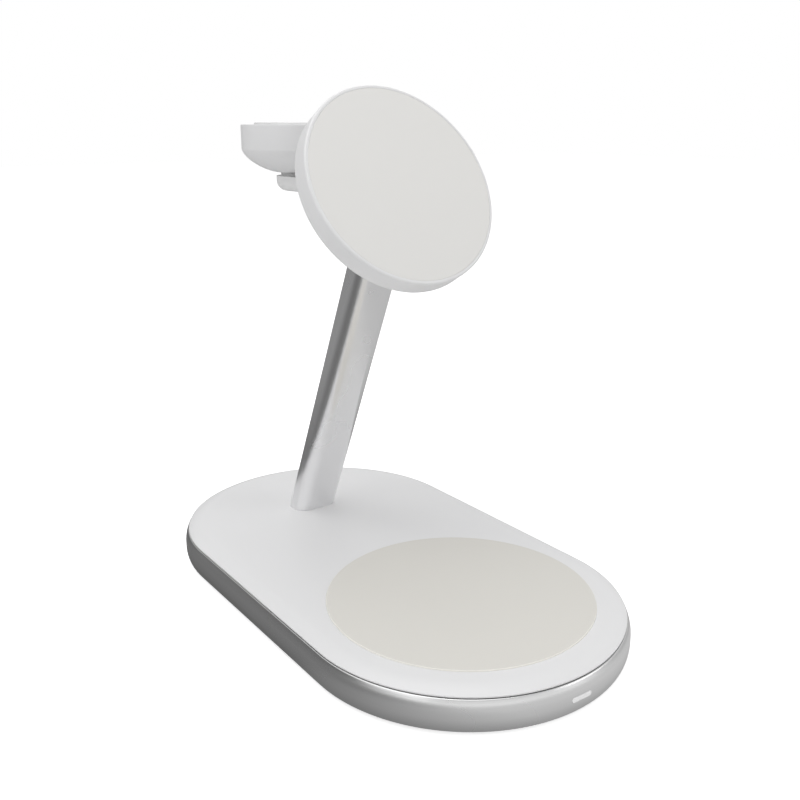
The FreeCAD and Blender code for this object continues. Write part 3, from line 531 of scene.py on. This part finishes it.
def stadium_loop(radius: float, half_span: float, height: float) -> list[Vector]:
    """Points of the base outline at a height.

    Args:
        radius: radius of the half circles.
        half_span: half the length of the straight sides.
        height: level of the loop.

    Returns:
        The points of the closed loop.
    """
    points = []
    for side, first in ((1, 0.0), (-1, math.pi)):
        for step in range(STADIUM_STEPS + 1):
            turn = first + math.pi * step / STADIUM_STEPS
            y = radius * math.sin(turn) + side * half_span
            points.append(Vector((radius * math.cos(turn), y, height)))
    return points


def flatten(piece: Object, sharp: float = SHARP) -> None:
    """Replaces a piece's mesh by what its modifiers make, and clears the modifiers.

    Args:
        piece: the piece with its modifiers.
        sharp: edges that turn by more than this angle stay sharp.
    """
    graph = bpy.context.evaluated_depsgraph_get()
    made = bpy.data.meshes.new_from_object(piece.evaluated_get(graph))
    piece.modifiers.clear()
    piece.data = made
    bm = bmesh.new()
    bm.from_mesh(made)
    settle(bm, sharp)
    bm.to_mesh(made)
    bm.free()


def combine(piece: Object, tools: Sequence[Object], how: str = "DIFFERENCE",
            sharp: float = SHARP) -> None:
    """Cuts or joins tools into a piece and removes the tools.

    Args:
        piece: the piece to change.
        tools: closed pieces to combine with it.
        how: DIFFERENCE or UNION.
        sharp: edges that turn by more than this angle stay sharp.
    """
    for tool in tools:
        step = piece.modifiers.new("combine", "BOOLEAN")
        step.operation = how
        step.solver = "EXACT"
        step.object = tool
    flatten(piece, sharp)
    for tool in tools:
        bpy.data.objects.remove(tool, do_unlink=True)


def slot_bar(name: str, width: float, height: float, level: float, near: float,
             far: float) -> Object:
    """Flat bar with round ends that runs along Y.

    Args:
        name: name of the bar.
        width: size along X.
        height: size along Z.
        level: height of its middle.
        near: Y of its first end.
        far: Y of its other end.

    Returns:
        The bar.
    """
    outline = oval(width, height, height / 2 * ROUND_END, SLOT_STEPS)
    loops = [[Vector((x, y, level + z)) for x, z in outline] for y in (near, far)]
    return loft(name, loops)


def end_tree(tree: Tree, shape: Socket, finish: Socket,
             result: Node) -> None:
    """Ends a geometry tree with plain meshes and their material.

    Args:
        tree: the tree.
        shape: socket with what the tree made.
        finish: socket with the material.
        result: output node of the tree.
    """
    real = first_of(tree, "GeometryNodeRealizeInstances", shape)
    dressed = add_node(tree, "GeometryNodeSetMaterial", {"Geometry": real, "Material": finish})
    fill(tree, result, {0: dressed.outputs[0]})
    tree.is_modifier = True


def section_tree() -> Tree:
    """Geometry nodes that carry a section round the base outline.

    Returns:
        The tree, with inputs Half Span, Path Radius, Arc Steps and Finish.
    """
    tree, given, result = new_tree(
        "section_round_base", "Geometry",
        {"Geometry": "Geometry", "Half Span": "Float", "Path Radius": "Float", "Arc Steps": "Int",
         "Finish": "Material"}, {"Geometry": "Geometry"})
    section = first_of(tree, "GeometryNodeMeshToCurve", given["Geometry"])
    width = first_of(tree, "ShaderNodeMath", given["Path Radius"], 2.0, operation="MULTIPLY")
    length = first_of(tree, "ShaderNodeMath", given["Half Span"], 2.0, width, operation="MULTIPLY_ADD")
    turn = first_of(tree, "ShaderNodeMath", given["Path Radius"], FILLET_END, operation="MULTIPLY")
    path = add_node(tree, "GeometryNodeCurvePrimitiveQuadrilateral", {"Width": width, "Height": length})
    rounded = add_node(tree, "GeometryNodeFilletCurve",
                       {"Curve": path.outputs[0], "Count": given["Arc Steps"], "Radius": turn}, mode="POLY")
    upright = first_of(tree, "GeometryNodeSetCurveNormal", rounded.outputs[0], mode="Z_UP")
    skin = add_node(tree, "GeometryNodeCurveToMesh", {"Curve": upright, "Profile Curve": section})
    end_tree(tree, skin.outputs[0], given["Finish"], result)
    return tree


def contact_tree() -> Tree:
    """Geometry nodes that lay a row of contacts on the tongue of the power socket.

    Returns:
        The tree, with inputs Count, Start, Pitch, Contact and Finish.
    """
    tree, given, result = new_tree(
        "contact_row", "Geometry",
        {"Geometry": "Geometry", "Count": "Int", "Start": "Vector", "Pitch": "Vector", "Contact": "Vector",
         "Finish": "Material"}, {"Geometry": "Geometry"})
    row = add_node(tree, "GeometryNodeMeshLine",
                   {"Count": given["Count"], "Start Location": given["Start"], "Offset": given["Pitch"]})
    contact = first_of(tree, "GeometryNodeMeshCube", given["Contact"])
    spread = add_node(tree, "GeometryNodeInstanceOnPoints", {"Points": row.outputs[0], "Instance": contact})
    end_tree(tree, spread.outputs[0], given["Finish"], result)
    return tree


def grown(mesh: bpy.types.Mesh, tree: Tree,
          values: dict[str, object]) -> Object:
    """Runs a geometry tree on a mesh and keeps what it makes as a plain mesh.

    Args:
        mesh: the mesh that goes in, with the name of the piece.
        tree: the tree.
        values: value of each input, by the input's name. It is set through its identifier.

    Returns:
        The new piece.
    """
    piece = add_object(mesh.name, mesh)
    modifier = piece.modifiers.new("tree", "NODES")
    modifier.node_group = tree
    for item in tree.interface.items_tree:
        if item.item_type == "SOCKET" and item.in_out == "INPUT" and item.name in values:
            modifier[item.identifier] = values[item.name]
    flatten(piece)
    return piece


def swept_round_base(name: str, profile: Profile, half_span: float, finish: Finish) -> Object:
    """Carries a closed section round the base with geometry nodes.

    Args:
        name: name of the piece.
        profile: points of the section as (radius, height).
        half_span: half the length of the straight sides.
        finish: finish that the tree sets.

    Returns:
        The piece as a plain mesh.
    """
    path_radius = sum(radius for radius, _ in profile) / len(profile)
    points = [(radius - path_radius, -height, 0.0) for radius, height in profile]
    edges = [(index, (index + 1) % len(points)) for index in range(len(points))]
    mesh = bpy.data.meshes.new(name)
    mesh.from_pydata(points, edges, [])
    return grown(mesh, section_tree(), {"Half Span": half_span, "Path Radius": path_radius,
                                        "Arc Steps": SWEEP_STEPS, "Finish": finish.material()})


def dress(piece: Object, body: Body, slot: Slot, *stands_for: str,
          finish: Finish | None = None) -> None:
    """Gives a piece its finish, its body and the nodes that it stands for.

    Args:
        piece: the piece, in its place.
        body: the body that it moves with.
        slot: the record's slot of its finish.
        stands_for: the nodes that it replaces.
        finish: a finish of its own within the slot.
    """
    piece.data.materials.clear()
    piece.data.materials.append((finish or FINISH_OF[slot]).material())
    for polygon in piece.data.polygons:
        polygon.material_index = 0
    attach(piece, body.value)
    if stands_for:
        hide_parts(*stands_for)
    LOG.info("%s: %d faces on %s", piece.name, len(piece.data.polygons), body.value)


def lean_about_x(origin: Vector, degrees: float) -> Matrix:
    """Place of a frame that is turned about the X axis.

    Args:
        origin: its origin.
        degrees: its turn.

    Returns:
        The frame.
    """
    return Matrix.Translation(origin) @ Matrix.Rotation(math.radians(degrees), 4, "X")


@dataclass
class Base:
    """The stadium base: band, covers, pad, foot, light and socket. All sizes are in metres."""

    stem: "Stem"
    half_span: float = 35.7 * MM
    seam_radius: float = 45.55 * MM
    seam_level: float = 10.0 * MM
    foot_level: float = 0.6 * MM
    bulge: float = 0.95 * MM
    bulge_drop: float = 3.8 * MM
    bottom_turn: float = 4.2 * MM
    bottom_inset: float = 2.2 * MM
    top_round: float = 0.4 * MM
    wall: float = 1.95 * MM
    crown: float = 1.95 * MM
    cover_thickness: float = 1.8 * MM
    roll: float = 4.9 * MM
    edge_inset: float = 0.25 * MM
    edge_height: float = 0.35 * MM
    seam_gap: float = 0.2 * MM
    seam_depth: float = 0.6 * MM
    bottom_under: float = 1.2 * MM
    bottom_top: float = 2.8 * MM
    groove_top: float = 1.8 * MM
    foot_radius: float = 38.0 * MM
    foot_width: float = 5.6 * MM
    foot_round: float = 0.4 * MM
    chamfer: float = 0.3 * MM
    pad_radius: float = 37.2 * MM
    pad_thickness: float = 1.2 * MM
    pad_proud: float = 0.4 * MM
    pad_round: float = 0.35 * MM
    fit: float = 0.1 * MM
    pad_fit: float = 0.03 * MM
    window_width: float = 6.5 * MM
    window_height: float = 1.45 * MM
    window_level: float = 5.5 * MM
    window_depth: float = 4.0 * MM
    port_width: float = 8.94 * MM
    port_height: float = 3.26 * MM
    port_level: float = 5.43 * MM
    port_length: float = 7.3 * MM
    port_wall: float = 0.32 * MM
    port_sunk: float = 0.8 * MM
    port_gap: float = 0.25 * MM
    port_back: float = 1.0 * MM
    tongue_width: float = 6.6 * MM
    tongue_thickness: float = 0.7 * MM
    tongue_tip: float = 5.8 * MM
    contact_count: int = 12
    contact_pitch: float = 0.5 * MM
    contact_width: float = 0.26 * MM
    contact_length: float = 2.0 * MM
    contact_proud: float = 0.04 * MM
    contact_inset: float = 1.2 * MM
    overrun: float = 1.0 * MM
    hole_reach: float = 8.0 * MM
    rim_steps: int = 6
    bulge_steps: int = 12
    turn_steps: int = 16
    roll_steps: int = 24
    pad_steps: int = 256
    foot_steps: int = 5
    cover_sharp: float = 28.0

    @property
    def cover_top(self) -> float:
        """Height of the flat of the top cover."""
        return self.seam_level + self.crown

    @property
    def outer(self) -> float:
        """Widest radius of the band."""
        return self.seam_radius + self.bulge

    @property
    def inner(self) -> float:
        """Inner radius of the band."""
        return self.seam_radius - self.wall

    @property
    def end(self) -> float:
        """How far the band reaches from the middle along Y."""
        return self.half_span + self.outer

    def band_profile(self) -> Profile:
        """Section of the band: rounded rim, bulged outside, rounded foot, flat inside.

        Returns:
            Its points as (radius, height).
        """
        radius = (self.bulge ** 2 + self.bulge_drop ** 2) / (2 * self.bulge)
        start = math.asin((self.bulge_drop - self.top_round) / radius)
        edge = self.outer - radius + radius * math.cos(start) - self.top_round
        points = arc((edge, self.seam_level - self.top_round), self.top_round, self.top_round, QUARTER, start,
                     self.rim_steps)
        points += arc((self.outer - radius, self.seam_level - self.bulge_drop), radius, radius, start, 0.0,
                      self.bulge_steps)[1:]
        points += arc((self.outer - self.bottom_inset, self.foot_level + self.bottom_turn), self.bottom_inset,
                      self.bottom_turn, 0.0, -QUARTER, self.turn_steps)
        return points + [(self.inner, self.foot_level), (self.inner, self.seam_level)]

    def round_base(self, profile: Profile) -> list[list[Vector]]:
        """Outlines of the base through the points of a section."""
        return [stadium_loop(radius, self.half_span, height) for radius, height in profile]

    def build(self) -> None:
        """Every piece of the base."""
        self.build_band()
        self.build_cover()
        self.build_pad()
        self.build_underside()
        self.build_light()
        self.build_port()

    def build_band(self) -> None:
        """Metal band with the slots for the light and the socket; its colour carries painted shade and a
        painted highlight.
        """
        band = loft("band", self.round_base(self.band_profile()), ring=True)
        light = slot_bar("light_cut", self.window_width, self.window_height, self.window_level,
                         -self.end - self.wall, -self.end + 2 * self.wall)
        port = slot_bar("port_cut", self.port_width + 2 * self.port_gap, self.port_height + 2 * self.port_gap,
                        self.port_level, self.end - 3 * self.wall, self.end + self.wall)
        combine(band, [light, port])
        dress(band, Body.BASE, Slot.ALUMINIUM, "base_frame", finish=BAND_PAINTED_LIGHT)

    def build_cover(self) -> None:
        """White cover with a rolled edge, cut for the pad and the stem."""
        edge = self.seam_radius - self.edge_inset
        edge_top = self.seam_level + self.seam_gap + self.edge_height
        drop = self.cover_top - edge_top
        radius = (self.roll ** 2 + drop ** 2) / (2 * drop)
        span = math.asin(self.roll / radius)
        profile = [(edge - self.seam_depth, self.cover_top - self.cover_thickness),
                   (edge - self.seam_depth, self.seam_level + self.seam_gap),
                   (edge, self.seam_level + self.seam_gap)]
        profile += arc((edge - self.roll, self.cover_top - radius), radius, radius, QUARTER - span, QUARTER,
                       self.roll_steps)
        cover = loft("top_cover", self.round_base(profile))
        middle = Matrix.Translation((0, -self.half_span, 0))
        seat = self.cover_top + self.pad_proud - self.pad_thickness
        reach, over = self.pad_radius + self.pad_fit, self.cover_top + self.overrun
        recess = turned("recess_cut", [(0, seat), (reach, seat), (reach, over), (0, over)], middle,
                        steps=self.pad_steps)
        hole = self.stem.bar("stem_cut", self.pad_fit, -self.hole_reach, self.hole_reach)
        combine(cover, [recess, hole], sharp=self.cover_sharp)
        dress(cover, Body.BASE, Slot.WHITE, "base_top_cover")

    def build_pad(self) -> None:
        """Soft pad for the earbud case, with a painted highlight on its rounded edge."""
        top = self.cover_top + self.pad_proud
        low = top - self.pad_thickness
        profile = soften([(0, low, 0), (self.pad_radius, low, 0), (self.pad_radius, top, self.pad_round),
                          (0, top, 0)])
        pad = turned("earbud_mat", profile, Matrix.Translation((0, -self.half_span, 0)), steps=self.pad_steps)
        dress(pad, Body.BASE, Slot.PAD, "earbud_pad", finish=EARBUD_PAD)

    def build_underside(self) -> None:
        """Bottom cover with its foot ring."""
        edge = self.inner - self.fit
        cover = loft("bottom_cover", self.round_base([
            (edge - self.chamfer, self.bottom_under), (edge, self.bottom_under + self.chamfer),
            (edge, self.bottom_top)]))
        half = self.foot_width / 2 + self.fit
        near, far = self.foot_radius - half, self.foot_radius + half
        groove = loft("groove_cut", self.round_base([
            (near, self.groove_top), (far, self.groove_top), (far, 0.0), (near, 0.0)]), ring=True)
        combine(cover, [groove])
        dress(cover, Body.BASE, Slot.WHITE, "base_bottom_cover")
        low, high = self.foot_radius - self.foot_width / 2, self.foot_radius + self.foot_width / 2
        profile = soften([(low, self.groove_top, 0), (high, self.groove_top, 0), (high, 0, self.foot_round),
                          (low, 0, self.foot_round)], steps=self.foot_steps)
        foot = swept_round_base("foot_strip", profile, self.half_span, FINISH_OF[Slot.FOOT])
        dress(foot, Body.BASE, Slot.FOOT, "foot_ring")

    def build_light(self) -> None:
        """Milky light guide, flush with the bulge of the band."""
        bar = slot_bar("light_guide", self.window_width - self.fit, self.window_height - self.fit,
                       self.window_level, -self.end, -self.end + self.window_depth)
        dress(bar, Body.BASE, Slot.LIGHT, "indicator_window")

    def build_port(self) -> None:
        """Power socket: steel mouth, dark tongue and copper contacts."""
        mouth = self.end - self.port_sunk
        back = mouth - self.port_length
        shell = slot_bar("port_mouth", self.port_width, self.port_height, self.port_level, back, mouth)
        hollow = slot_bar("port_hollow", self.port_width - 2 * self.port_wall,
                          self.port_height - 2 * self.port_wall, self.port_level, back + self.port_back,
                          mouth + self.overrun)
        combine(shell, [hollow])
        dress(shell, Body.BASE, Slot.STEEL, "usb_c_socket")
        tongue = slot_bar("port_tongue", self.tongue_width, self.tongue_thickness, self.port_level,
                          back + self.port_back / 2, back + self.tongue_tip)
        dress(tongue, Body.BASE, Slot.JACKET)
        first = -self.contact_pitch * (self.contact_count - 1) / 2
        start = (first, back + self.tongue_tip - self.contact_inset, self.port_level)
        size = (self.contact_width, self.contact_length, self.tongue_thickness + 2 * self.contact_proud)
        contacts = grown(bpy.data.meshes.new("port_contacts"), contact_tree(), {
            "Count": self.contact_count, "Start": start, "Pitch": (self.contact_pitch, 0.0, 0.0),
            "Contact": size, "Finish": FINISH_OF[Slot.COPPER].material()})
        dress(contacts, Body.BASE, Slot.COPPER)


@dataclass
class Stem:
    """The flat oval tube that leans forward."""

    foot: Vector = field(default_factory=lambda: Vector((0.0, 45.0, 11.95)) * MM)
    lean: float = 24.15
    width: float = 15.0 * MM
    depth: float = 9.0 * MM
    corner: float = 3.9 * MM
    wall: float = 1.5 * MM
    start: float = -4.4 * MM
    top: float = 104.8 * MM
    steps: int = 24

    @property
    def place(self) -> Matrix:
        """Frame of the stem, with Z along its axis and the origin on the cover."""
        return lean_about_x(self.foot, self.lean)

    @property
    def way(self) -> Vector:
        """Direction of the stem axis."""
        return self.place.to_3x3() @ Vector((0, 0, 1))

    def bar(self, name: str, grow: float, low: float, high: float) -> Object:
        """Solid bar with the outline of the stem, grown by a margin.

        Args:
            name: name of the bar.
            grow: the margin.
            low: its lower end along the stem.
            high: its upper end along the stem.

        Returns:
            The bar.
        """
        width, depth, corner = self.width + 2 * grow, self.depth + 2 * grow, self.corner + grow
        loops = [oval_loop(width, depth, corner, height, self.place) for height in (low, high)]
        return loft(name, loops)

    def build(self) -> None:
        """The tube."""
        heights = [self.start + (self.top - self.start) * step / self.steps
                   for step in range(self.steps + 1)]
        width, depth, corner = self.width - 2 * self.wall, self.depth - 2 * self.wall, self.corner - self.wall
        outer = [oval_loop(self.width, self.depth, self.corner, height, self.place) for height in heights]
        inner = [oval_loop(width, depth, corner, height, self.place) for height in reversed(heights)]
        tube = loft("stem", outer + inner, ring=True)
        dress(tube, Body.BASE, Slot.ALUMINIUM, "stem_tube")


@dataclass
class Head:
    """The casting on the stem: hinge barrel, neck, web and rear arm."""

    stem: Stem
    reach: float = 117.6 * MM
    disc_lean: float = 29.8
    hinge_depth: float = 7.2 * MM
    barrel: float = 6.65 * MM
    half_width: float = 9.8 * MM
    setback: float = 38.0 * MM
    cap_radius: float = 3.2 * MM
    cap_thickness: float = 0.9 * MM
    cap_round: float = 0.2 * MM
    collar_radius: float = 8.4 * MM
    collar_height: float = 0.95 * MM
    pivot_radius: float = 4.0 * MM
    pivot_bore: float = 2.5 * MM
    pivot_height: float = 4.5 * MM
    cap_steps: int = 64
    collar_steps: int = 96

    @property
    def disc_back(self) -> Vector:
        """Middle of the back of the disc."""
        return self.stem.foot + self.stem.way * self.reach

    @property
    def disc_place(self) -> Matrix:
        """Frame of the disc, with Z out of its face."""
        return lean_about_x(self.disc_back, 90.0 - self.disc_lean)

    @property
    def hinge(self) -> Vector:
        """Middle of the tilt hinge."""
        return self.disc_place @ Vector((0, 0, -self.hinge_depth))

    @property
    def arm_top(self) -> float:
        """Height of the flat top of the arm."""
        return self.hinge.z + self.barrel

    @property
    def watch_axis(self) -> Vector:
        """Foot of the upright axis of the cradle."""
        return Vector((0, self.hinge.y + self.setback, 0))

    def along_x(self) -> Matrix:
        """Frame at the hinge whose Z axis runs along X."""
        return Matrix.Translation(self.hinge) @ Matrix.Rotation(QUARTER, 4, "Y")

    def build(self) -> None:
        """The hinge caps and the collar under the cradle. The casting itself keeps its solid form."""
        plugs = []
        for side in (-1, 1):
            low = side * (self.half_width - self.cap_thickness)
            high = side * self.half_width
            outline = soften([(0, low, 0), (self.cap_radius, low, 0), (self.cap_radius, high, self.cap_round),
                              (0, high, 0)])
            plugs.append(turned("hinge_plug", outline, self.along_x(), steps=self.cap_steps))
        combine(plugs[0], plugs[1:], "UNION")
        dress(plugs[0], Body.BASE, Slot.WHITE, "hinge_caps")
        shoulder, tip = self.arm_top + self.collar_height, self.arm_top + self.pivot_height
        outline = [(self.pivot_bore, self.arm_top), (self.collar_radius, self.arm_top),
                   (self.collar_radius, shoulder), (self.pivot_radius, shoulder), (self.pivot_radius, tip),
                   (self.pivot_bore, tip)]
        collar = turned("cradle_collar", outline, Matrix.Translation(self.watch_axis),
                        steps=self.collar_steps)
        dress(collar, Body.BASE, Slot.CAST, "watch_pivot_tube", finish=COLLAR)


@dataclass
class PhoneDisc:
    """The tilting disc."""

    head: Head
    radius: float = 29.0 * MM
    thickness: float = 6.6 * MM
    front_round: float = 0.6 * MM
    back_round: float = 1.0 * MM
    pad_radius: float = 28.0 * MM
    pad_thickness: float = 0.8 * MM
    pad_gap: float = 0.01 * MM
    pad_round: float = 0.15 * MM
    steps: int = 256

    def build(self) -> None:
        """Shell and soft face."""
        seat = self.thickness - self.pad_thickness
        lip = self.pad_radius + self.pad_gap
        profile = soften([(0, 0, 0), (self.radius, 0, self.back_round),
                          (self.radius, self.thickness, self.front_round), (lip, self.thickness, 0),
                          (lip, seat, 0), (0, seat, 0)])
        shell = turned("disc_shell", profile, self.head.disc_place, steps=self.steps)
        dress(shell, Body.PHONE, Slot.WHITE, "phone_disc_housing")
        face = soften([(0, seat, 0), (self.pad_radius, seat, 0),
                       (self.pad_radius, self.thickness, self.pad_round), (0, self.thickness, 0)])
        pad = turned("disc_face", face, self.head.disc_place, steps=self.steps)
        dress(pad, Body.PHONE, Slot.PAD, "phone_face_pad", finish=DISC_FACE)


@dataclass
class WatchCradle:
    """The round cradle with its raised puck."""

    head: Head
    radius: float = 20.0 * MM
    flat: float = 9.0 * MM
    bowl: float = 7.0 * MM
    fullness: float = 1.55
    wall_height: float = 7.0 * MM
    gap: float = 1.0 * MM
    rim: float = 1.6 * MM
    cover_thickness: float = 1.4 * MM
    puck: float = 16.0 * MM
    puck_proud: float = 0.6 * MM
    puck_round: float = 0.5 * MM
    flange: float = 1.1 * MM
    flange_thickness: float = 1.2 * MM
    rim_round: float = 0.3 * MM
    bore: float = 4.05 * MM
    floor: float = 1.6 * MM
    fit: float = 0.1 * MM
    dish_radius: float = 70.0 * MM
    dish_depth: float = 1.0 * MM
    ledge: float = 1.0 * MM
    bowl_steps: int = 32
    hollow_steps: int = 16
    rim_steps: int = 6
    puck_steps: int = 8
    dish_steps: int = 16
    ring_steps: int = 4
    steps: int = 192

    def build(self) -> None:
        """Bowl, cover ring and puck."""
        place = Matrix.Translation(self.head.watch_axis)
        low = self.head.arm_top + self.gap
        wall = low + self.bowl
        rim = wall + self.wall_height
        lip = self.radius - self.rim
        under, inside = rim - self.cover_thickness, lip - self.ledge
        profile = [(self.bore, low)]
        profile += arc((self.flat, wall), self.radius - self.flat, self.bowl, -QUARTER, 0.0, self.bowl_steps,
                       self.fullness)
        profile += arc((self.radius - self.rim_round, rim - self.rim_round), self.rim_round, self.rim_round,
                       0.0, QUARTER, self.rim_steps)
        profile += [(lip, rim), (lip, under), (inside, under), (inside, wall)]
        profile += arc((self.flat, wall), inside - self.flat, self.bowl - self.floor, 0.0, -QUARTER,
                       self.hollow_steps)
        profile.append((self.bore, low + self.floor))
        dress(turned("cradle_bowl", profile, place, self.steps), Body.WATCH, Slot.WHITE, "watch_bowl")
        near, far = self.puck + self.fit, lip - self.fit
        ring = soften([(near, under, 0), (far, under, 0), (far, rim, self.fit), (near, rim, self.fit)],
                      self.ring_steps)
        dress(turned("cradle_ring", ring, place, self.steps), Body.WATCH, Slot.WHITE, "watch_top_cover")
        self.build_puck(under, rim + self.puck_proud, place)

    def build_puck(self, under: float, top: float, place: Matrix) -> None:
        """The puck, with its flange and its shallow dish.

        Args:
            under: level of the top of its flange.
            top: level of its edge.
            place: frame of the cradle.
        """
        flange, base = self.puck + self.flange, under - self.flange_thickness
        face: Profile = [(0, base), (flange, base), (flange, under), (self.puck, under)]
        face += arc((self.puck - self.puck_round, top - self.puck_round), self.puck_round, self.puck_round,
                    0.0, QUARTER, self.puck_steps)
        edge = math.sqrt(2 * self.dish_radius * self.dish_depth - self.dish_depth ** 2)
        for step in range(self.dish_steps + 1):
            radius = edge * (1 - step / self.dish_steps)
            face.append((radius, top - self.dish_depth + self.dish_radius
                         - math.sqrt(self.dish_radius ** 2 - radius ** 2)))
        dress(turned("watch_face", face, place, self.steps), Body.WATCH, Slot.GLOSS, "watch_puck")


@dataclass
class Innards:
    """The pieces that keep their solid form and get a finish."""

    def dress(self) -> None:
        """Gives every node of the frame the finish of its slot."""
        for entry in frame["record"]["subparts"]:
            node = frame["nodes"][entry["node"]]
            finish = FINISH_OF[Slot(entry["material_slot"])]
            node.data.materials.clear()
            node.data.materials.append(finish.material())


@dataclass(frozen=True)
class Lamp:
    """Square soft lamp.

    Args:
        name: its name.
        place: where it hangs, in metres.
        size: its side in metres.
        power: its power in watts.
    """

    name: str
    place: tuple[float, float, float]
    size: float
    power: float

    def build(self, target: Vector) -> None:
        """Hangs the lamp.

        Args:
            target: the point that it looks at.
        """
        data = bpy.data.lights.new(self.name, "AREA")
        data.shape = "SQUARE"
        data.size = self.size
        data.energy = self.power
        lamp = add_object(self.name, data)
        lamp.location = self.place
        lamp.rotation_euler = (target - Vector(self.place)).to_track_quat("-Z", "Y").to_euler()


LAMPS = (
    Lamp("top_light", (-0.20, 0.05, 1.08), 1.1, 6.4),
    Lamp("front_light", (0.72, -0.82, 0.40), 0.6, 2.3),
    Lamp("left_light", (-0.85, -0.20, 0.42), 0.7, 1.3),
)


@dataclass
class Studio:
    """Camera, floor and light. Glossy rays see a floor and a sky with graded tones of their own."""

    eye: Vector = field(default_factory=lambda: Vector((-148.11, -213.20, 137.85)) * MM)
    azimuth: float = -35.70
    pitch: float = 16.69
    lens: float = 41.65
    sensor: float = 36.0
    near_clip: float = 0.01
    target: Vector = field(default_factory=lambda: Vector((0.0, 0.0, 0.06)))
    floor_size: float = 6.0
    floor_tone: float = 0.86
    floor_roughness: float = 0.9
    floor_lift: float = 0.66
    floor_way: tuple[float, float, float] = (0.7, -0.7, 0.0)
    floor_span: tuple[float, float] = (-0.35, 0.15)
    floor_tones: Tones = ((0.2, 0.28), (0.5, 0.14), (0.66, 0.17), (0.80, 0.52))
    sky_strength: float = 0.47
    sky_way: tuple[float, float, float] = (0.45, -0.45, 0.77)
    sky_tones: Tones = ((0.22, 0.12), (0.36, 0.30), (0.48, 0.85), (0.75, 0.95))

    def build_camera(self) -> None:
        """Camera at the photograph's viewing angle."""
        turn, tilt = math.radians(self.azimuth), math.radians(self.pitch)
        back = Vector((math.sin(turn) * math.cos(tilt), -math.cos(turn) * math.cos(tilt), math.sin(tilt)))
        right = Vector((math.cos(turn), math.sin(turn), 0.0))
        data = bpy.data.cameras.new("camera")
        data.lens = self.lens
        data.sensor_width = self.sensor
        data.clip_start = self.near_clip
        camera = add_object("camera", data)
        rotation = Matrix((right, back.cross(right), back)).transposed().to_4x4()
        camera.matrix_world = Matrix.Translation(self.eye) @ rotation
        bpy.context.scene.camera = camera

    def build_floor(self) -> None:
        """Pale floor that keeps the shadow and reads white to the camera."""
        half = self.floor_size / 2
        mesh = bpy.data.meshes.new("floor")
        mesh.from_pydata([(-half, -half, 0), (half, -half, 0), (half, half, 0), (-half, half, 0)], [],
                         [(0, 1, 2, 3)])
        floor = add_object("floor", mesh)
        material = bpy.data.materials.new("pale_floor")
        material.use_nodes = True
        tree = material.node_tree
        plain = tree.nodes["Principled BSDF"]
        fill(tree, plain, {"Base Color": grey(self.floor_tone), "Roughness": self.floor_roughness,
                           "Specular IOR Level": 0.0})
        rays = add_node(tree, "ShaderNodeLightPath").outputs
        lift = first_of(tree, "ShaderNodeEmission", grey(self.floor_lift), rays["Is Camera Ray"])
        seen = first_of(tree, "ShaderNodeAddShader", plain.outputs[0], lift)
        place = add_node(tree, "ShaderNodeTexCoord").outputs["Object"]
        tone = graded(tree, place, self.floor_way, self.floor_span, self.floor_tones)
        mirror = first_of(tree, "ShaderNodeEmission", tone)
        shown = first_of(tree, "ShaderNodeMixShader", rays["Is Glossy Ray"], seen, mirror)
        fill(tree, tree.nodes["Material Output"], {"Surface": shown})
        mesh.materials.append(material)

    def build_world(self) -> None:
        """Soft even light all round, white behind the object."""
        world = bpy.data.worlds.new("studio")
        bpy.context.scene.world = world
        world.use_nodes = True
        tree = world.node_tree
        plain = tree.nodes["Background"]
        fill(tree, plain, {"Color": grey(1.0), "Strength": self.sky_strength})
        white = first_of(tree, "ShaderNodeBackground", grey(1.0), 1.0)
        rays = add_node(tree, "ShaderNodeLightPath").outputs
        direct = first_of(tree, "ShaderNodeMath", rays["Is Camera Ray"], rays["Is Transmission Ray"],
                          operation="MAXIMUM")
        place = add_node(tree, "ShaderNodeTexCoord").outputs["Generated"]
        tone = graded(tree, place, self.sky_way, (-1.0, 1.0), self.sky_tones)
        mirror = first_of(tree, "ShaderNodeBackground", tone, 1.0)
        lit = first_of(tree, "ShaderNodeMixShader", rays["Is Glossy Ray"], plain.outputs[0], mirror)
        shown = first_of(tree, "ShaderNodeMixShader", direct, lit, white)
        fill(tree, tree.nodes["World Output"], {"Surface": shown})

    def build(self) -> None:
        """The whole set."""
        self.build_camera()
        self.build_floor()
        self.build_world()
        for lamp in LAMPS:
            lamp.build(self.target)
        bpy.context.scene.view_settings.view_transform = "Standard"


def main() -> None:
    """Builds the charger, sub-assembly by sub-assembly, and its studio."""
    logging.basicConfig(level=logging.INFO, format="%(name)s: %(message)s")
    stem = Stem()
    head = Head(stem)
    Innards().dress()
    Base(stem).build()
    stem.build()
    head.build()
    PhoneDisc(head).build()
    WatchCradle(head).build()
    Studio().build()


if __name__ == "__main__":
    main()
